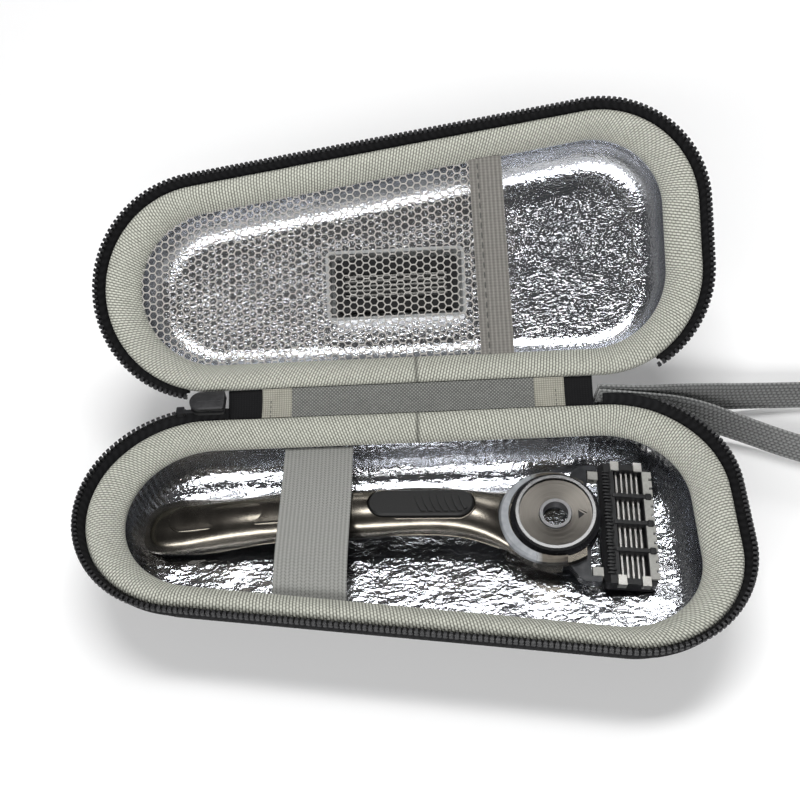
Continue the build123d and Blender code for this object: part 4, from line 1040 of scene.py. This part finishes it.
def at_section(x):
    """Smooth (beside, half width, low, high) of the handle at x: cubic blends between its sections."""
    knots = handle_sections
    k = np.clip(np.searchsorted(knots[:, 0], x) - 1, 0, len(knots) - 2)
    slopes = np.gradient(knots[:, 1:], knots[:, 0], axis=0)
    span = (knots[k + 1, 0] - knots[k, 0])[:, None]
    t = (x - knots[k, 0])[:, None] / span
    a, b = knots[k, 1:], knots[k + 1, 1:]
    return (
        a * (1 + 2 * t) * (1 - t) ** 2 + b * t**2 * (3 - 2 * t)
        + slopes[k] * span * t * (1 - t) ** 2 - slopes[k + 1] * span * t**2 * (1 - t)
    )


def bead(name, line, radius, around):
    """Round plated bead of a given radius along a line of points in mm, which may run all round."""
    ahead = unit(np.roll(line, -1, axis=0) - np.roll(line, 1, axis=0) if around else np.gradient(line, axis=0))
    side = unit(np.cross(ahead, UP))
    up = np.cross(side, ahead)
    turn = np.linspace(0, TURN, 10, endpoint=False)
    ring = side[:, None] * np.cos(turn)[None, :, None] + up[:, None] * np.sin(turn)[None, :, None]
    grid = line[:, None] + ring * radius
    if not around:
        grid = np.concatenate([np.repeat(line[:1, None], 10, axis=1), grid, np.repeat(line[-1:, None], 10, axis=1)])
    piece = surface(name, grid, around=around, across=True, weld=not around, solid=True)
    return fit(piece, bronze_material, "razor", "dark_chrome")


grip_knots = np.array(
    [(-80.0, 8.2), (-70.0, 7.2), (-60.0, 8.4), (-45.0, 11.6), (-25.0, 14.0), (0.0, 15.4), (20.0, 14.4), (34.0, 11.0)]
)


def lip_line(x, side):
    """Points where the plated part meets the rubber: the grip line's height on the section's ellipse."""
    height = np.interp(x, *grip_knots.T)
    smooth = np.convolve(np.pad(height, 6, mode="edge"), np.full(13, 1 / 13), mode="valid")
    beside, half, low, high = at_section(x).T
    level = np.clip((smooth - (low + high) / 2) / ((high - low) / 2), -0.98, 0.98)
    return np.stack([x, beside + side * half * np.sqrt(1 - level**2), smooth], axis=-1)


def handle_top(x, y):
    """Height of the handle's upper surface over (x, y): the top half of the section's ellipse."""
    beside, half, low, high = (v.reshape(-1, *[1] * (y.ndim - 1)) for v in at_section(x).T)
    return (low + high) / 2 + (high - low) / 2 * np.sqrt(np.clip(1 - ((y - beside) / half) ** 2, 0, 1))


lip_x = np.concatenate([-77.0 + 3.0 * np.linspace(0.02, 1, 14) ** 2, np.linspace(-73.6, 27.0, 170)])
lip, _ = even(np.concatenate([lip_line(lip_x, -1)[::-1], lip_line(lip_x, 1)]), 0.7)
bead("handle_lip", seated(lip), 0.36, False)
# The panel is 9.4 mm wide with a half-round left end. It lies over the handle's top, curves less
# than the handle across its width and drops to the handle along its edges.
panel_half_width = 4.7
panel_x = np.linspace(-69.5, -12.2, 150)
panel_end = np.clip((-64.8 - panel_x) / panel_half_width, 0, 1)
panel_half = panel_half_width * np.sqrt(np.clip(1 - panel_end**2, 0, 1)) + 0.01
panel_share = np.linspace(-1.0, 1.0, 31)
panel_y = at_section(panel_x)[:, :1] - 0.3 + panel_half[:, None] * panel_share[None, :]
panel_z = handle_top(panel_x, panel_y)
panel_z = panel_z + 0.10 + 0.30 * (panel_z.max(axis=1, keepdims=True) - panel_z)
panel_z = panel_z - 0.30 * np.clip((np.abs(panel_share) - 0.86) / 0.14, 0, 1)[None, :] ** 2
panel_top = np.stack(np.broadcast_arrays(panel_x[:, None], panel_y, panel_z), axis=-1)
panel_grid = np.concatenate([panel_top, (panel_top - [0.0, 0.0, 0.5])[:, ::-1]], axis=1)
panel_close = np.repeat(panel_grid[-1:].mean(axis=1, keepdims=True), panel_grid.shape[1], axis=1)
closed("handle_panel", seated(np.concatenate([panel_grid, panel_close])), bronze_material, "razor", "dark_chrome")
pad_outline = round_box(-11.1, 20.1, 1.9 - 4.9, 1.9 + 4.9, (4.88,) * 4, 16)
pad_z = handle_top(pad_outline[:, 0], pad_outline[:, 1])
bead("thumb_button_rim", seated(np.column_stack([pad_outline, pad_z])), 0.27, True)

# ---- Razor head -----------------------------------------------------------------------------
# A glossy black ring holds a turned metal disc with an open hole, in which a grey bush shows. A
# pale collar hugs its left side, and smoky plastic wings reach out to the blade unit's pivots.
# Black bars cross the blades and end in a hook over the comb, and rough fins line the inner rail.
ring_material = speckled("ring_plastic", 0.9, 3.0, (0.004, 0.004, 0.005), (0.02, 0.02, 0.022), 0.01, 0.10, 0.12)
turned_metal = Finish("brushed_disc")
dx, dy, _ = turned_metal.split(turned_metal.place())
hub = headed(np.zeros((1, 3)), 10.0)[0]
out_x, out_y = dx - float(hub[0]), dy - float(hub[1])
radius_wire = (out_x * out_x + out_y * out_y) ** 0.5
# The mark cut in the disc: a small arrowhead that points to the blades, |across| < slope x (tip - along).
disc_mark = ((8.5 - out_x - abs(out_y + 0.3) * 1.5) * 6.0).within() * ((out_x - 6.3) * 6.0).within()
groove = turned_metal.noise(turned_metal.join(radius_wire * 3.2, 0.0, 0.0), 1.0, 4.0, 0.7)
disc_colour = turned_metal.mix(groove, (0.036, 0.0335, 0.03), (0.10, 0.093, 0.083))
disc_material = turned_metal.shade(
    turned_metal.mix(disc_mark, disc_colour, (0.008, 0.008, 0.008)), groove * 0.15 + 0.22, 1.0,
    turned_metal.bump(groove, 0.06),
)
bush_material = speckled("bush_plastic", 1.5, 3.0, (0.055, 0.055, 0.06), (0.13, 0.13, 0.135), 0.03, 0.35)
collar = Finish("collar_plastic")
collar_grain = collar.noise(collar.place(), 0.5, 3.0)
# The collar is milky plastic on its left side; a plated band covers it towards the blades.
plated = ((collar.split(collar.place())[0] - float(hub[0]) + 6.5) * 0.5).within()
collar_material = collar.shade(
    collar.mix(
        plated,
        collar.mix(collar_grain, (0.20, 0.215, 0.23), (0.38, 0.395, 0.415)),
        collar.mix(collar_grain, (0.045, 0.04, 0.034), (0.10, 0.09, 0.076)),
    ),
    collar_grain * 0.1 + plated * 0.12 + 0.20, plated, collar.bump(collar_grain, 0.02), coat_weight=0.3,
)
smoke_material = speckled(
    "smoke_plastic", 0.4, 3.0, (0.014, 0.015, 0.017), (0.055, 0.058, 0.063), 0.02, 0.12, 0.1, coat_weight=0.4
)
comb_material = speckled("comb_plastic", 1.5, 3.0, (0.24, 0.24, 0.22), (0.42, 0.415, 0.39), 0.06, 0.35)
dress(ring_material, "head_ring")
dress(disc_material, "release_disc")
dress(bush_material, "disc_bush")
dress(collar_material, "head_collar")
dress(smoke_material, "pivot_yoke")
dress(steel, "pivot_pin_front", "pivot_pin_back", "cartridge_blades", "cartridge_clips")
dress(comb_material, "cartridge_comb", "cartridge_pads")
dress(black_plastic, "cartridge_frame")


def united(points):
    """Blade-unit points drawn level, tipped by 8 degrees about Y and hung on the head, which leans by 4.5."""
    t = math.radians(8.0)
    x, z = points[..., 0], points[..., 2]
    tipped = [x * math.cos(t) + z * math.sin(t), points[..., 1], z * math.cos(t) - x * math.sin(t)]
    return headed(np.stack(tipped, axis=-1) + np.array([11.0, 0.0, -7.55]), 4.5)


for k, bar_y in enumerate((-8.85, 0.0, 8.85)):
    bar = plate(round_box(5.4, 16.3, bar_y - 0.62, bar_y + 0.62, (0.3,) * 4), 2.1, 2.62, 0.18)
    hook = plate(round_box(15.1, 16.9, bar_y - 0.95, bar_y + 0.95, (0.5, 0.5, 0.3, 0.3)), 2.1, 2.85, 0.22)
    for name, grid in ((f"unit_bar_{k}", bar), (f"unit_hook_{k}", hook)):
        closed(name, united(grid), black_plastic, "blade_unit", "black_plastic")
fin_y = np.arange(-16.5, 16.6, 1.1)
fin_size = (1.5, 0.55, 0.55)
fin_jitter = np.random.default_rng(71).uniform(-0.3, 0.3, (len(fin_y), 2))
fin_spot = np.column_stack([4.0 + fin_jitter[:, 0], fin_y, 2.3 + 0.4 * fin_jitter[:, 1]])
fin_origin = united(fin_spot)
fin_axes = np.stack([(united(fin_spot + np.eye(3)[k]) - fin_origin) * fin_size[k] for k in range(3)], axis=-1)
fins = scattered("unit_fins", tooth_block, tooth_faces, fin_origin, fin_axes)
fit(fins, black_plastic, "blade_unit", "black_plastic")

# ---- Table and light ------------------------------------------------------------------------
# A white table top under large soft lamps, as in a small product studio. The table glows a
# little for what looks at it straight or by reflection, and keeps the case's shadow.
table_half, table_height = 0.9, -0.0002
table_mesh = bpy.data.meshes.new("table_top")
table_corners = [(x * table_half, y * table_half, table_height) for x, y in ((-1, -1), (1, -1), (1, 1), (-1, 1))]
table_mesh.from_pydata(table_corners, [], [(0, 1, 2, 3)])
table_top = bpy.data.objects.new("table_top", table_mesh)
bpy.context.scene.collection.objects.link(table_top)
white = Finish("table_top")
seen_by = ("Is Camera Ray", "Is Glossy Ray", "Is Transmission Ray")
seen = sum(white.node("ShaderNodeLightPath", out=ray) for ray in seen_by).within()
white_material = white.shade(
    (0.88, 0.88, 0.88), 0.7, emission_color=white.mix(seen, (0.0, 0.0, 0.0), (0.10, 0.10, 0.10)),
    emission_strength=1.0,
)
table_top.data.materials.append(white_material)

# The studio is bright near the horizon and dark overhead.
sky = Finish("studio", "worlds")
bpy.context.scene.world = sky.holder
sky_stops = [(0.03, (0.95, 0.95, 0.95)), (0.18, (0.30, 0.30, 0.305)), (0.60, (0.05, 0.05, 0.052))]
sky_height = sky.split(sky.node("ShaderNodeTexCoord"))[2]
sky_colour = sky.node("ShaderNodeValToRGB", {"stops": sky_stops}, {0: sky_height})
background = sky.node("ShaderNodeBackground", None, {"Color": sky_colour, "Strength": 1.0})
sky.node("ShaderNodeOutputWorld", None, {"Surface": background})


def lamp(name, place, aim, wide, tall, power):
    """A rectangular soft lamp that looks at a point: its sizes and places are in metres, its power in watts."""
    light = bpy.data.lights.new(name, "AREA")
    light.shape = "RECTANGLE"
    light.size, light.size_y, light.energy = wide, tall, power
    ahead = unit(np.array(aim) - np.array(place))
    right = unit(np.cross(ahead, [0.0, 0.5, 1.0]))
    stand(bpy.data.objects.new(name, light), right, np.cross(right, ahead), -ahead, place)


lamp("front_lamp", (-0.15, -0.94, 0.72), (0.0, 0.0, 0.0), 1.1, 0.24, 11.0)
lamp("top_lamp", (0.05, 0.22, 1.18), (0.0, 0.0, 0.0), 0.7, 0.22, 8.0)
lamp("back_lamp", (0.15, 1.05, 0.66), (0.0, 0.06, 0.0), 1.1, 0.24, 4.0)

bpy.context.scene.view_settings.view_transform = "Standard"
